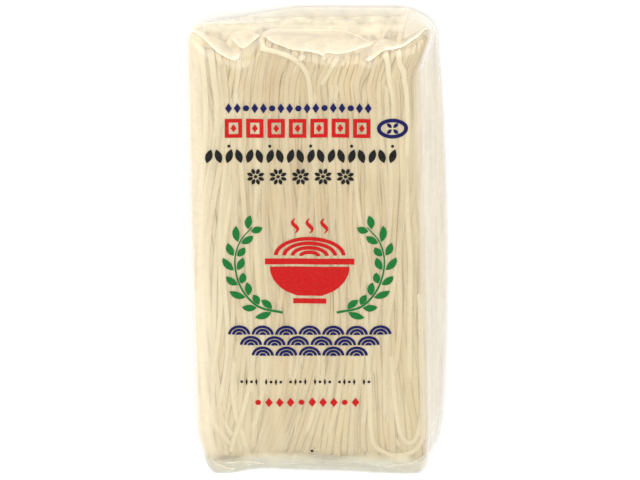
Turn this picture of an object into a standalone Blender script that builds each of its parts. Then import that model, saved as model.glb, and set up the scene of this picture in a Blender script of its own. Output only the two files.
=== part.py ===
"""A sealed clear bag of dried flat rice noodles, lying on its back with its front face up.

+X is the pack's right, +Y is its folded top end and +Z is out of its front face. The origin is
under the middle of the pack. The whole pack is one solid: a soft-cornered brick of noodles in
film, with the folds of the film's ends and the noodles that show at the surface fused on.
"""

import math
import random

import bpy
import bmesh
from mathutils import Vector

# Brick, in metres: its thickness and width without the single noodles that stand proud of it
WIDTH = 0.1340
HEAD = 0.1243
FOOT = -0.1249
THICKNESS = 0.0464
EDGE_RADIUS = 0.0070

# Left and right edges seen from the front: at the bottom end, halfway and at the top end
LEFT_EDGE = (-0.0637, -0.0657, -0.0668)
RIGHT_EDGE_BACK = (0.0642, 0.0668, 0.0590)
RIGHT_EDGE_FRONT = (0.0548, 0.0507, 0.0462)
TOP_CORNER_FLARE = 0.0080

# Front crease of the folded top end: how far it lies below the end, by distance across
CREASE_ACROSS = (-0.067, -0.055, -0.042, -0.037, -0.029, -0.012, 0.007, 0.018, 0.024, 0.033, 0.042, 0.055)
CREASE_DEPTH = (0.000, 0.007, 0.013, 0.012, 0.002, 0.008, 0.012, 0.010, 0.013, 0.006, 0.006, 0.000)
CREASE_HEIGHT_SHARE = 0.66

# Cut-off corners of the top end's back edge: how far across and how far down each one runs
BACK_CORNER_LEFT = (0.054, 0.010)
BACK_CORNER_RIGHT = (0.016, 0.008)

# Empty film past the noodles at the bottom end: its cut-off corners, how far both long edges come
# in towards it, and how far its end lies in by distance across
SKIRT_LENGTH = 0.0150
SKIRT_DROP = 0.0050
SKIRT_CORNER_ACROSS = 0.009
SKIRT_CORNER_DEPTH = 0.003
SKIRT_TAPER = 0.0035
SKIRT_END_ACROSS = (-0.052, -0.031, 0.000, 0.045)
SKIRT_END_INSET = (0.0, 0.0030, 0.0018, 0.0)

# Closing flap that lies on the top end, with its low edge at the back and its high edge free
FLAP_PROUD = 0.0006
FLAP_HEIGHTS = (0.0060, 0.0290)
FLAP_LOW_EDGE = (-0.0300, 0.0440)
FLAP_HIGH_EDGE = (-0.0560, 0.0510)
FLAP_DEPTH = 0.0040
FLAP_GRID = (8, 3)

# Noodles: flat sticks, about as wide as a match is thick
NOODLE_WIDTH = 0.0030
NOODLE_THICKNESS = 0.0028
NOODLE_PROUD = 0.0011
NOODLE_STEP = 0.0150
UPPER_LAYER = 0.0009
SEED = 14

# Straight noodles down the front: their first and last places in from the two long edges, where
# they start and stop, their waves and how far they lean to the left lower down
FRONT_NOODLES = 25
FRONT_INSETS = (0.006, 0.004)
FRONT_JITTER = 0.2
FRONT_START = 0.019
FRONT_START_SPREAD = 0.010
FRONT_STOP_SPREAD = 0.008
FRONT_WAVE = (0.0005, 0.0014)
FRONT_WAVE_PERIOD = 0.018
FRONT_LEAN = (0.002, 0.008)
LEAN_REACH = 0.110

# Shorter noodles of the next layer out: their middles, half lengths, slopes and how far they bow
CROSSING_NOODLES = 14
CROSSING_INSETS = (0.014, 0.010)
CROSSING_JITTER = 0.3
CROSSING_MIDDLE = (-0.045, 0.050)
CROSSING_REACH = (0.035, 0.055)
CROSSING_SLOPE = (0.04, 0.10)
CROSSING_BOW = 0.0015
CROSSING_HALF_STEPS = 3

# U-shaped bends at the bottom end: middle across, half width, and top and low end above the foot
BOTTOM_LOOPS = ((0.0385, 0.0150, 0.085, 0.0075), (0.0445, 0.0070, 0.070, 0.0150))
BOTTOM_LOOP_LEAN = 0.002
BEND_STEPS = 8

# Curved noodle at the top, as (across, below the top end)
TOP_CURVE = ((-0.028, 0.010), (-0.024, 0.014), (-0.014, 0.019), (-0.006, 0.029), (-0.002, 0.045))

# Noodles that sweep in from the lower left edge: how far each comes in, and where they run
SWEEP_REACHES = (0.018, 0.027)
SWEEP_INSET = 0.004
SWEEP_START = 0.060
SWEEP_DROP = 0.044
SWEEP_STEPS = 6

# Noodles along the two long sides: the first one's height and the span of all, as thickness shares
SIDE_NOODLES = {"left": 5, "right": 4}
SIDE_FIRST = 0.24
SIDE_SPAN = 0.54
SIDE_WAVE = (0.0006, 0.0014)
SIDE_WAVE_PERIOD = 0.020
SIDE_START = (0.030, 0.040)
SIDE_STOP = (0.020, 0.030)
SIDE_STEPS = 12

# Round bends that show on the top end, as (across, radius), and how far they lie under the flap
END_LOOPS = ((-0.018, 0.0070), (0.008, 0.0060), (0.032, 0.0075))
END_LOOP_TUCK = 0.001

# Core's grid: points across, along and up, and where the extra line on each rounded edge lies
FRONT_GRID = 17
LENGTH_GRID = 15
SIDE_GRID = 4
TURN_SHARE = 0.35

# Where the top end's folds and the skirt's cut corners begin and end, as shares of the length,
# and the height share above which the back edge's cut-off corners end
TOP_END_START = 0.80
FLARE_START = 0.90
SKIRT_CORNER_END = 0.12
BACK_CORNER_END = 0.75
MERGE_DISTANCE = 0.000002


def clear_scene():
    """Empty the scene before the model is made."""
    for thing in list(bpy.data.objects):
        bpy.data.objects.remove(thing, do_unlink=True)


def smooth_step(low, high, value):
    """0 below low, 1 above high and a smooth rise between."""
    share = min(max((value - low) / (high - low), 0.0), 1.0)
    return share * share * (3.0 - 2.0 * share)


def through_three(values, share):
    """The parabola through three evenly spaced values."""
    low, middle, high = values
    bend = 2.0 * (low + high - 2.0 * middle)
    return low + (4.0 * middle - 3.0 * low - high) * share + bend * share * share


def along_points(places, values, place):
    """A smooth line through a few points."""
    if place <= places[0]:
        return values[0]
    for left, right, start, end in zip(places, places[1:], values, values[1:]):
        if place <= right:
            return start + (end - start) * smooth_step(left, right, place)
    return values[-1]


def along_share(y):
    """0 at the bottom end and 1 at the top end."""
    return (y - FOOT) / (HEAD - FOOT)


def skirt_taper(along):
    """How far each long edge comes in over the empty film."""
    return SKIRT_TAPER * (1.0 - smooth_step(0.0, SKIRT_CORNER_END, along))


def left_edge(along):
    return through_three(LEFT_EDGE, along) + skirt_taper(along)


def right_edge(along, height):
    """The right side leans out from the front face to the back."""
    back = through_three(RIGHT_EDGE_BACK, along)
    front = through_three(RIGHT_EDGE_FRONT, along)
    front += TOP_CORNER_FLARE * smooth_step(FLARE_START, 1.0, along)
    return back + (front - back) * height - skirt_taper(along)


def top_end_inset(x, height):
    """How far the folded top end lies below its furthest line."""
    crease = along_points(CREASE_ACROSS, CREASE_DEPTH, x)
    crease *= smooth_step(CREASE_HEIGHT_SHARE, 1.0, height)
    left_run, left_drop = BACK_CORNER_LEFT
    right_run, right_drop = BACK_CORNER_RIGHT
    left = left_drop * max(LEFT_EDGE[2] + left_run - x, 0.0) / left_run
    right = right_drop * max(x - RIGHT_EDGE_BACK[2] + right_run, 0.0) / right_run
    back = (left + right) * (1.0 - smooth_step(0.0, BACK_CORNER_END, height))
    return crease + back


def bottom_end_inset(x):
    """The two corners of the film skirt are folded in, and its end is a little wavy."""
    left = smooth_step(0.0, SKIRT_CORNER_ACROSS, LEFT_EDGE[0] + SKIRT_CORNER_ACROSS - x)
    right = smooth_step(0.0, SKIRT_CORNER_ACROSS, x - RIGHT_EDGE_BACK[0] + SKIRT_CORNER_ACROSS)
    return SKIRT_CORNER_DEPTH * max(left, right) + along_points(SKIRT_END_ACROSS, SKIRT_END_INSET, x)


def front_drop(along):
    """The front face sinks over the empty film at the bottom end."""
    skirt_share = 2.0 * SKIRT_LENGTH / (HEAD - FOOT)
    return SKIRT_DROP * (1.0 - smooth_step(0.0, skirt_share, along))


def shape_point(across, length, height):
    """Move a point of the plain brick to its place on the pack."""
    across_share = across / WIDTH + 0.5
    along = along_share(length)
    height_share = height / THICKNESS
    left = left_edge(along)
    x = left + (right_edge(along, height_share) - left) * across_share
    y = length - top_end_inset(x, height_share) * smooth_step(TOP_END_START, 1.0, along)
    y += bottom_end_inset(x) * (1.0 - smooth_step(0.0, SKIRT_CORNER_END, along))
    z = height - front_drop(along) * height_share
    return Vector((x, y, z))


def round_brick(across, length, height):
    """Pull a point on a sharp brick onto the brick with rounded edges."""
    point = Vector((across, length, height))
    lowest = (-WIDTH / 2.0, FOOT, 0.0)
    highest = (WIDTH / 2.0, HEAD, THICKNESS)
    inner = Vector(
        max(low + EDGE_RADIUS, min(high - EDGE_RADIUS, value))
        for value, low, high in zip(point, lowest, highest)
    )
    return inner + (point - inner).normalized() * EDGE_RADIUS


def grid_lines(low, high, count):
    """Positions from low to high, with close ones where the edge turns."""
    turn = TURN_SHARE * EDGE_RADIUS
    first, last = low + EDGE_RADIUS, high - EDGE_RADIUS
    flat = [first + (last - first) * step / (count - 1) for step in range(count)]
    return [low, low + turn, *flat, high - turn, high]


def make_core():
    """The pack without its single noodles: a closed grid over all six faces of a brick."""
    columns = grid_lines(-WIDTH / 2.0, WIDTH / 2.0, FRONT_GRID)
    rows = grid_lines(FOOT, HEAD, LENGTH_GRID)
    layers = grid_lines(0.0, THICKNESS, SIDE_GRID)
    corners = {}
    mesh = bmesh.new()

    def corner(i, j, k):
        if (i, j, k) not in corners:
            place = shape_point(*round_brick(columns[i], rows[j], layers[k]))
            corners[i, j, k] = mesh.verts.new(place)
        return corners[i, j, k]

    last_column, last_row, last_layer = len(columns) - 1, len(rows) - 1, len(layers) - 1
    for i in range(last_column):
        for j in range(last_row):
            for k in (0, last_layer):
                square = [(i, j, k), (i + 1, j, k), (i + 1, j + 1, k), (i, j + 1, k)]
                mesh.faces.new([corner(*place) for place in square])
        for k in range(last_layer):
            for j in (0, last_row):
                square = [(i, j, k), (i + 1, j, k), (i + 1, j, k + 1), (i, j, k + 1)]
                mesh.faces.new([corner(*place) for place in square])
    for j in range(last_row):
        for k in range(last_layer):
            for i in (0, last_column):
                square = [(i, j, k), (i, j + 1, k), (i, j + 1, k + 1), (i, j, k + 1)]
                mesh.faces.new([corner(*place) for place in square])
    bmesh.ops.recalc_face_normals(mesh, faces=mesh.faces)
    return mesh


def front_height(x, y):
    """Height of the front face, with its rounded long edges, at a place seen from the front."""
    along = along_share(y)
    left, right = left_edge(along), right_edge(along, 1.0)
    inset = min(max(min(x - left, right - x), 0.0), EDGE_RADIUS)
    fall = EDGE_RADIUS - math.sqrt(EDGE_RADIUS**2 - (EDGE_RADIUS - inset) ** 2)
    return THICKNESS - fall - front_drop(along)


def strip(name, path, normals, collection):
    """A flat noodle along a path, with its two ends closed."""
    mesh = bmesh.new()
    rings = []
    for index, (place, normal) in enumerate(zip(path, normals)):
        ahead = path[min(index + 1, len(path) - 1)]
        behind = path[max(index - 1, 0)]
        side = (ahead - behind).cross(normal).normalized() * (NOODLE_WIDTH / 2.0)
        top = place + normal * NOODLE_PROUD
        low = top - normal * NOODLE_THICKNESS
        rings.append([mesh.verts.new(spot) for spot in (top - side, top + side, low + side, low - side)])
    for near, far in zip(rings, rings[1:]):
        for edge in range(4):
            following = (edge + 1) % 4
            mesh.faces.new([near[edge], near[following], far[following], far[edge]])
    mesh.faces.new(rings[0])
    mesh.faces.new(list(reversed(rings[-1])))
    bmesh.ops.recalc_face_normals(mesh, faces=mesh.faces)
    bmesh.ops.triangulate(mesh, faces=mesh.faces)
    data = bpy.data.meshes.new(name)
    mesh.to_mesh(data)
    mesh.free()
    collection.objects.link(bpy.data.objects.new(name, data))


def front_strip(name, plan, collection, lift=0.0):
    """A noodle on the front face that follows a list of (x, y), its two ends pushed under."""
    normals = [Vector((0.0, 0.0, 1.0))] * len(plan)
    path = [Vector((x, y, front_height(x, y) + lift)) for x, y in plan]
    for end in (0, -1):
        path[end].z -= NOODLE_THICKNESS
    strip(name, path, normals, collection)


def straight_noodles(draw, collection):
    """Sticks down the front face: near straight above, leaning to the left lower down."""
    left, right = LEFT_EDGE[1] + FRONT_INSETS[0], RIGHT_EDGE_FRONT[1] - FRONT_INSETS[1]
    for number in range(FRONT_NOODLES):
        share = (number + 0.5 + draw.uniform(-FRONT_JITTER, FRONT_JITTER)) / FRONT_NOODLES
        start = HEAD - FRONT_START - draw.uniform(0.0, FRONT_START_SPREAD)
        stop = FOOT + SKIRT_LENGTH + draw.uniform(0.0, FRONT_STOP_SPREAD)
        wave = draw.uniform(*FRONT_WAVE)
        turn = draw.uniform(0.0, 2.0 * math.pi)
        lean = draw.uniform(*FRONT_LEAN) * math.sin(math.pi * share)
        count = int((start - stop) / NOODLE_STEP) + 1
        plan = []
        for step in range(count + 1):
            y = start + (stop - start) * step / count
            x = left + (right - left) * share + wave * math.sin(turn + y / FRONT_WAVE_PERIOD)
            x -= lean * smooth_step(0.0, LEAN_REACH, -y)
            plan.append((x, y))
        front_strip(f"front_{number}", plan, collection)


def crossing_noodles(draw, collection):
    """Shorter sticks of the next layer out, which cross the others at small angles."""
    left, right = LEFT_EDGE[1] + CROSSING_INSETS[0], RIGHT_EDGE_FRONT[1] - CROSSING_INSETS[1]
    for number in range(CROSSING_NOODLES):
        share = (number + 0.5 + draw.uniform(-CROSSING_JITTER, CROSSING_JITTER)) / CROSSING_NOODLES
        middle = draw.uniform(*CROSSING_MIDDLE)
        reach = draw.uniform(*CROSSING_REACH)
        slope = draw.uniform(*CROSSING_SLOPE) * draw.choice((-1.0, 1.0))
        plan = []
        for step in range(-CROSSING_HALF_STEPS, CROSSING_HALF_STEPS + 1):
            away = reach * step / CROSSING_HALF_STEPS
            bow = CROSSING_BOW * math.cos(0.5 * math.pi * away / reach)
            plan.append((left + (right - left) * share + slope * away + bow, middle - away))
        front_strip(f"crossing_{number}", plan, collection, lift=UPPER_LAYER)


def bottom_loops(collection):
    """Long U-shaped bends at the right of the bottom end, one inside the other."""
    for number, (x, half_width, rise, lift) in enumerate(BOTTOM_LOOPS):
        top, low = FOOT + rise, FOOT + lift
        plan = [(x - half_width, top), (x - half_width, (top + low) / 2.0)]
        for step in range(BEND_STEPS + 1):
            angle = math.pi * (1.0 + step / BEND_STEPS)
            plan.append((x + half_width * math.cos(angle), low + half_width * (1.0 + math.sin(angle))))
        plan += [(x + half_width, (top + low) / 2.0), (x + half_width - BOTTOM_LOOP_LEAN, top)]
        front_strip(f"bottom_loop_{number}", plan, collection, lift=UPPER_LAYER)


def curved_noodles(collection):
    """The curved stick at the top, and those that sweep in from the lower left edge."""
    curved = [(x, HEAD - below) for x, below in TOP_CURVE]
    front_strip("curved_top", curved, collection, lift=UPPER_LAYER)
    for number, reach in enumerate(SWEEP_REACHES):
        sweep = []
        for step in range(SWEEP_STEPS + 1):
            angle = 0.5 * math.pi * step / SWEEP_STEPS
            x = LEFT_EDGE[0] + SWEEP_INSET + reach * (1.0 - math.cos(angle))
            sweep.append((x, FOOT + SWEEP_START - SWEEP_DROP * math.sin(angle)))
        front_strip(f"corner_sweep_{number}", sweep, collection, lift=UPPER_LAYER)


def side_noodles(draw, collection):
    """Sticks along the two long sides."""
    lean = (RIGHT_EDGE_BACK[1] - RIGHT_EDGE_FRONT[1]) / THICKNESS
    for side, name, normal in ((-1.0, "left", (-1.0, 0.0, 0.0)), (1.0, "right", (1.0, 0.0, lean))):
        count = SIDE_NOODLES[name]
        for number in range(count):
            height = THICKNESS * (SIDE_FIRST + SIDE_SPAN * number / (count - 1))
            wave = draw.uniform(*SIDE_WAVE)
            turn = draw.uniform(0.0, 2.0 * math.pi)
            start = HEAD - draw.uniform(*SIDE_START)
            stop = FOOT + draw.uniform(*SIDE_STOP)
            path = []
            for step in range(SIDE_STEPS + 1):
                y = start + (stop - start) * step / SIDE_STEPS
                z = height + wave * math.sin(turn + y / SIDE_WAVE_PERIOD)
                path.append(shape_point(side * WIDTH / 2.0, y, z))
            for end in (0, -1):
                path[end].x -= side * NOODLE_THICKNESS
            strip(f"{name}_side_{number}", path, [Vector(normal).normalized()] * len(path), collection)


def end_point(x, z, out):
    """A place on the top end's face, or that far out from it."""
    return Vector((x, HEAD - top_end_inset(x, z / THICKNESS) + out, z))


def end_loops(collection):
    """Round bends of the noodles that show through the film above the top crease."""
    for number, (x, radius) in enumerate(END_LOOPS):
        path = []
        for step in range(BEND_STEPS + 1):
            angle = math.pi * step / BEND_STEPS
            z = FLAP_HEIGHTS[1] - END_LOOP_TUCK + radius * math.sin(angle)
            path.append(end_point(x + radius * math.cos(angle), z, -NOODLE_PROUD / 2.0))
        strip(f"end_loop_{number}", path, [Vector((0.0, 1.0, 0.0))] * len(path), collection)


def closing_flap(collection):
    """The film's last fold, laid on the top end from the back: a thin grid that follows it."""
    columns, rows = FLAP_GRID
    mesh = bmesh.new()
    layers = []
    for out in (FLAP_PROUD, -FLAP_DEPTH):
        layer = []
        for row in range(rows + 1):
            up = row / rows
            z = FLAP_HEIGHTS[0] + (FLAP_HEIGHTS[1] - FLAP_HEIGHTS[0]) * up
            left = FLAP_LOW_EDGE[0] + (FLAP_HIGH_EDGE[0] - FLAP_LOW_EDGE[0]) * up
            right = FLAP_LOW_EDGE[1] + (FLAP_HIGH_EDGE[1] - FLAP_LOW_EDGE[1]) * up
            spots = [end_point(left + (right - left) * step / columns, z, out) for step in range(columns + 1)]
            layer.append([mesh.verts.new(spot) for spot in spots])
        layers.append(layer)
    for layer in layers:
        for low, high in zip(layer, layer[1:]):
            for step in range(columns):
                mesh.faces.new([low[step], low[step + 1], high[step + 1], high[step]])
    outer, inner = layers
    rims = [list(zip(outer[0], inner[0])), list(zip(outer[-1], inner[-1]))]
    rims += [[(front[side], back[side]) for front, back in zip(outer, inner)] for side in (0, -1)]
    for rim in rims:
        for near, far in zip(rim, rim[1:]):
            mesh.faces.new([near[0], far[0], far[1], near[1]])
    bmesh.ops.recalc_face_normals(mesh, faces=mesh.faces)
    bmesh.ops.triangulate(mesh, faces=mesh.faces)
    data = bpy.data.meshes.new("closing_flap")
    mesh.to_mesh(data)
    mesh.free()
    collection.objects.link(bpy.data.objects.new("closing_flap", data))


def keep_outer_body(data):
    """Leave only the largest connected skin, which fills sealed hollows and drops loose scraps."""
    mesh = bmesh.new()
    mesh.from_mesh(data)
    bmesh.ops.remove_doubles(mesh, verts=mesh.verts, dist=MERGE_DISTANCE)
    bmesh.ops.dissolve_degenerate(mesh, edges=mesh.edges, dist=MERGE_DISTANCE)
    bmesh.ops.triangulate(mesh, faces=mesh.faces)
    unseen = set(mesh.faces)
    skins = []
    while unseen:
        waiting = [unseen.pop()]
        skin = []
        while waiting:
            face = waiting.pop()
            skin.append(face)
            for edge in face.edges:
                for other in edge.link_faces:
                    if other in unseen:
                        unseen.remove(other)
                        waiting.append(other)
        skins.append(skin)
    largest = max(skins, key=lambda skin: sum(face.calc_area() for face in skin))
    kept = set(largest)
    bmesh.ops.delete(mesh, geom=[face for face in mesh.faces if face not in kept], context="FACES")
    mesh.to_mesh(data)
    mesh.free()


def fuse(core, collection):
    """One Boolean union of the core and all that lies on it, applied."""
    union = core.modifiers.new("noodles", "BOOLEAN")
    union.operation = "UNION"
    union.operand_type = "COLLECTION"
    union.collection = collection
    union.solver = "MANIFOLD"
    view = bpy.context.evaluated_depsgraph_get()
    joined = bpy.data.meshes.new_from_object(core.evaluated_get(view))
    core.modifiers.remove(union)
    core.data = joined
    for piece in list(collection.objects):
        bpy.data.objects.remove(piece, do_unlink=True)
    bpy.data.collections.remove(collection)
    keep_outer_body(joined)


def noodle_material():
    """Dry rice noodle seen through thin clear film."""
    material = bpy.data.materials.new("rice_noodle_in_film")
    material.use_nodes = True
    surface = material.node_tree.nodes["Principled BSDF"]
    surface.inputs["Base Color"].default_value = (0.78, 0.66, 0.45, 1.0)
    surface.inputs["Roughness"].default_value = 0.35
    surface.inputs["Metallic"].default_value = 0.0
    return material


def main():
    clear_scene()
    draw = random.Random(SEED)
    mesh = make_core()
    bmesh.ops.triangulate(mesh, faces=mesh.faces)
    data = bpy.data.meshes.new("noodle_bag")
    mesh.to_mesh(data)
    mesh.free()
    core = bpy.data.objects.new("noodle_bag", data)
    bpy.context.scene.collection.objects.link(core)
    noodles = bpy.data.collections.new("noodles")
    bpy.context.scene.collection.children.link(noodles)
    straight_noodles(draw, noodles)
    crossing_noodles(draw, noodles)
    bottom_loops(noodles)
    curved_noodles(noodles)
    side_noodles(draw, noodles)
    end_loops(noodles)
    closing_flap(noodles)
    fuse(core, noodles)
    core.data.materials.clear()
    core.data.materials.append(noodle_material())


main()
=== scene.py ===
"""The looks of a sealed clear bag of dried flat rice noodles, lying on its back.

+X is the pack's right, +Y its folded top end and +Z is out of its printed face, in metres.
Most shapes are first laid out on a plain brick (across, length, height) and then moved to the
pack's own form by pack_point, so that noodles, film and print all follow the same surface.
"""

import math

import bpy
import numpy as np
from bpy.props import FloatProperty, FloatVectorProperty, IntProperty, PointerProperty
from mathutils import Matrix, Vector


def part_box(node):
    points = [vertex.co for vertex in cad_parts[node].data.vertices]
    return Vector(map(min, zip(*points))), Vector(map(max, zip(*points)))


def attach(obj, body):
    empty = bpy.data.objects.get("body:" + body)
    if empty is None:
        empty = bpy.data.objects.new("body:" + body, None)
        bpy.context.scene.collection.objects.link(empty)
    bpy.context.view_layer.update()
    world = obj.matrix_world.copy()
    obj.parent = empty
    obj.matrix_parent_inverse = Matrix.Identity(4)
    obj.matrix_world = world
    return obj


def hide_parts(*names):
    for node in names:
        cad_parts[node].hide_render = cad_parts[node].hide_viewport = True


bl_info = {
    "name": "Bag of rice noodles",
    "version": (1, 0, 0),
    "blender": (4, 5, 0),
    "location": "View3D > Sidebar > Noodle bag",
    "description": "Builds the noodles, the clear film and the print of a sealed bag of dried rice noodles",
    "category": "Add Mesh",
}

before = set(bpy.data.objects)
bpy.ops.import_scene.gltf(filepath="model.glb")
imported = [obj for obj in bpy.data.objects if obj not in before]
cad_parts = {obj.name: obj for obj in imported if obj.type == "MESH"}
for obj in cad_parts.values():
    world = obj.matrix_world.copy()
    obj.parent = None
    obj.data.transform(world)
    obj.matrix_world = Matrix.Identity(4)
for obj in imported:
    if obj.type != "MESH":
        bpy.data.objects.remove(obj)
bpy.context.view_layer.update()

NODE = "noodle_bag"
BODY = "root"
LOWEST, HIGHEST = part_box(NODE)

# Brick that the pack is laid out on, which leaves room for the folds and the print that stand out
FOLD_ROOM = 0.0006
PRINT_ROOM = 0.0004
WIDTH = 0.1340
FOOT = LOWEST.y
HEAD = HIGHEST.y - FOLD_ROOM
THICKNESS = HIGHEST.z - PRINT_ROOM
EDGE_RADIUS = 0.0070

# Nearest that the middle of a noodle or the print comes to the brick's side edges
EDGE_MARGIN = 0.0022

# Left and right edges seen from the front: at the bottom end, halfway and at the top end
LEFT_EDGE = (-0.0645, -0.0666, -0.0677)
RIGHT_EDGE_BACK = (0.0650, 0.0677, 0.0598)
RIGHT_EDGE_FRONT = (0.0556, 0.0515, 0.0470)
TOP_CORNER_FLARE = 0.0080

# Front crease of the folded top end: how far it lies below the end, by distance across
CREASE_ACROSS = (-0.067, -0.055, -0.042, -0.037, -0.029, -0.012, 0.007, 0.018, 0.024, 0.033, 0.042, 0.055)
CREASE_DEPTH = (0.000, 0.007, 0.013, 0.012, 0.002, 0.008, 0.012, 0.010, 0.013, 0.006, 0.006, 0.000)
CREASE_HEIGHT_SHARE = 0.66

# Cut-off corners of the top end's back edge: how far across and how far down each one runs
BACK_CORNER_LEFT = (0.054, 0.010)
BACK_CORNER_RIGHT = (0.016, 0.008)

# Share of the pack's length past which its top end takes shape
TOP_END_SHARE = 0.80

# Empty film past the noodles at the bottom end: its length, how far its front sinks, its cut-off
# corners and the share of the pack's length that they fade over, how far both long edges come in
# towards it, and how far its end lies in by distance across
SKIRT_LENGTH = 0.0150
SKIRT_DROP = 0.0050
SKIRT_CORNER_ACROSS = 0.009
SKIRT_CORNER_DEPTH = 0.003
SKIRT_CORNER_END = 0.12
SKIRT_TAPER_LEFT = 0.0035
SKIRT_TAPER_RIGHT = 0.0008
SKIRT_END_ACROSS = (-0.052, -0.031, 0.000, 0.045)
SKIRT_END_INSET = (0.0, 0.0030, 0.0018, 0.0)

# Height of the pack's underside, where the film is doubled at its seam and its folded ends
UNDERLAY = 0.0005

# Middle of the printed panel, which the places of the print and of single noodles are measured from
PANEL_MIDDLE = 0.0015

# Start of every random draw
SEED = 14

# Cross-section of a flat noodle, in widths across and thicknesses up: thin edges and a crowned face
SECTION = np.array(
    [(-0.5, -0.25), (-0.34, 0.10), (0.0, 0.26), (0.34, 0.10), (0.5, -0.25), (0.42, -0.4), (-0.42, -0.4)]
)
SHARP_CORNERS = (1, 3, 5, 6)

# Layers of noodles: depth of the first under the film, step to each next one, share of noodles that
# each leaves out, share of painted light, a brighter colour for light that has come through others,
# and how its tone deepens with depth, as painted shade, and varies
FIRST_DEPTH = 0.0011
LAYER_STEP = 0.0006
LEFT_OUT = (0.36, 0.12, 0.0, 0.0)
PAINTED_THROUGH_LIGHT = (0.0, 0.30, 0.75, 1.0)
DEPTH_SHADE_STEP = 0.16
TONE_SPREAD = 0.50

# How unevenly the noodles of a layer lie: least and most end gap, bend and share of the usual width,
# the drift of neighbours together, of one noodle alone, and its roll in radians
END_GAP = (0.0, 0.0080)
END_BEND = (0.0035, 0.0065)
WIDTH_SHARE = (0.92, 1.35)
SHARED_DRIFT = 0.0048
OWN_DRIFT = 0.0010
ROLL = 0.16

# Ends of those noodles: gap to the film, further gap at the front of the foot, and how far they turn
# in, as a share of the thickness on the front and back and as a distance on the sides
END_CLEARANCE = 0.0012
FRONT_FOOT_GAP = 0.0042
TUCK_SHARE = (0.40, 0.56)
SIDE_TUCK = (0.012, 0.022)
STRAND_STEP = 0.0048

# Distances along the pack over which noodles drift and roll, least and most
SHARED_RANGE = (0.110, 0.330)
OWN_RANGE = (0.070, 0.200)
ROLL_RANGE = (0.040, 0.120)
NEIGHBOUR_RANGE = (0.045, 0.150)
FAR_APART = (1.0, 2.0)

# Place and spread of the painted shade, the deepest colour in the middle of the pack, and where painted
# light pales its left edge
PAINTED_SHADE_PLACE = (0.006, 0.018)
PAINTED_SHADE_SPREAD = (0.030, 0.060)
PAINTED_LIGHT_LEFT = (-0.020, -0.056)

# Lean of the noodles to the left lower down the front: the shift at the foot, its middle across, its
# spread and the length that it grows over
LEAN_SHIFT = 0.0150
LEAN_MIDDLE = -0.004
LEAN_SPREAD = 0.028
LEAN_LENGTH = 0.112

# Loose noodles in front: where they start and end along the pack, how much they slope and drift, how
# deep they lie and how much deeper their ends dive
LOOSE_TOP = (0.085, 0.108)
LOOSE_FOOT = (-0.108, -0.070)
LOOSE_SLOPE = (0.02, 0.06)
LOOSE_DRIFT = 0.0018
LOOSE_RANGE = (0.100, 0.240)
LOOSE_DEPTH = (0.0007, 0.0011)
LOOSE_DIVE = 0.0030
LOOSE_STEP = 0.0045

# Bends behind the film of the top end, in millimetres: across, over the end and radius. The depth is
# in metres
CURLS_ACROSS = (-46.0, 52.0)
CURLS_REACH = (10.0, 24.0)
CURLS_RADIUS = (3.0, 8.0)
CURLS_DEPTH = (0.0014, 0.0030)

# Inside of the bundle: its depth under the film, its mesh spacing, how far it stops from the ends,
# further at the front of the foot, and how much its front sinks towards them
CORE_DEPTH = 0.0038
CORE_SPACING = 0.006
CORE_FOOT_GAP = 0.0055
CORE_FOOT_SLANT = 0.0080
CORE_HEAD_GAP = 0.0060
CORE_FOOT_SUNK = 0.0055
CORE_HEAD_SUNK = 0.0030

# Film: mesh spacing of the bag, thickness of a fold, width of the milky line along a fold's edge,
# partly a painted highlight of the crease, and refraction of polypropylene
FILM_SPACING = 0.002
FILM_THICKNESS = 0.00012
EDGE_HIGHLIGHT_LINE = 0.0011
FILM_IOR = 1.49

# How milky the film is, from 0 for clear to 1 for white: on the front, on the front next to the top
# crease, on the right side, at the left edge, on the skirt, and on the top end and lower down it. On
# the right side and at the left edge it is partly a painted highlight, the light's reflection off the
# turned film, and lower down the top end partly painted light
FRONT_HAZE = 0.38
FRONT_HEAD_HAZE = 0.26
RIGHT_HAZE_AND_SHEEN = 0.55
LEFT_HAZE_AND_SHEEN = 0.66
SKIRT_HAZE = 0.84
TOP_END_HAZE = 0.40
TOP_END_LOW_HAZE = 0.70

# Heights of the two faces of the ink over the film
INK_HEIGHTS = (0.00013, 0.00004)

# How often the patterns in the materials repeat in a metre, some of them across, along and in height
NOODLE_STREAKS = (1600.0, 60.0, 1600.0)
NOODLE_CLOUDS = 55.0
FILM_PATCHES = (130.0, 16.0, 90.0)
FILM_CRINKLES = 140.0
INK_SPOTS = 900.0
CORE_STREAKS = (420.0, 14.0, 420.0)
BOARD_GRAINS = 300.0

# Stage: half the floor, the room and the softbox, and the camera at the photograph's angle with the
# real size that one of its pixels covers
FLOOR_REACH = 6.0
ROOM_BRIGHTNESS = 0.94
SOFTBOX_SIZE = (1.8, 1.4)
SOFTBOX_PLACE = (-0.10, 0.55, 1.40)
SOFTBOX_POWER = 18.8
CAMERA_TILT = math.radians(22.0)
CAMERA_DISTANCE = 2.0
CAMERA_AIM = (-0.0007, 0.0012 + PANEL_MIDDLE, THICKNESS / 2.0)
SENSOR_WIDTH = 36.0
PIXEL_SIZE = 0.00052
IMAGE_WIDTH = 640.0


def linear(code):
    """An sRGB hex colour as the linear colour that the shaders use."""
    values = [int(code[place : place + 2], 16) / 255.0 for place in (0, 2, 4)]
    return tuple(v / 12.92 if v <= 0.04045 else ((v + 0.055) / 1.055) ** 2.4 for v in values)


def colour_setting(name, description, code):
    """A colour that can be set, with an sRGB hex colour as its default."""
    return FloatVectorProperty(
        name=name, description=description, subtype="COLOR", default=linear(code)
    )


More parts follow.
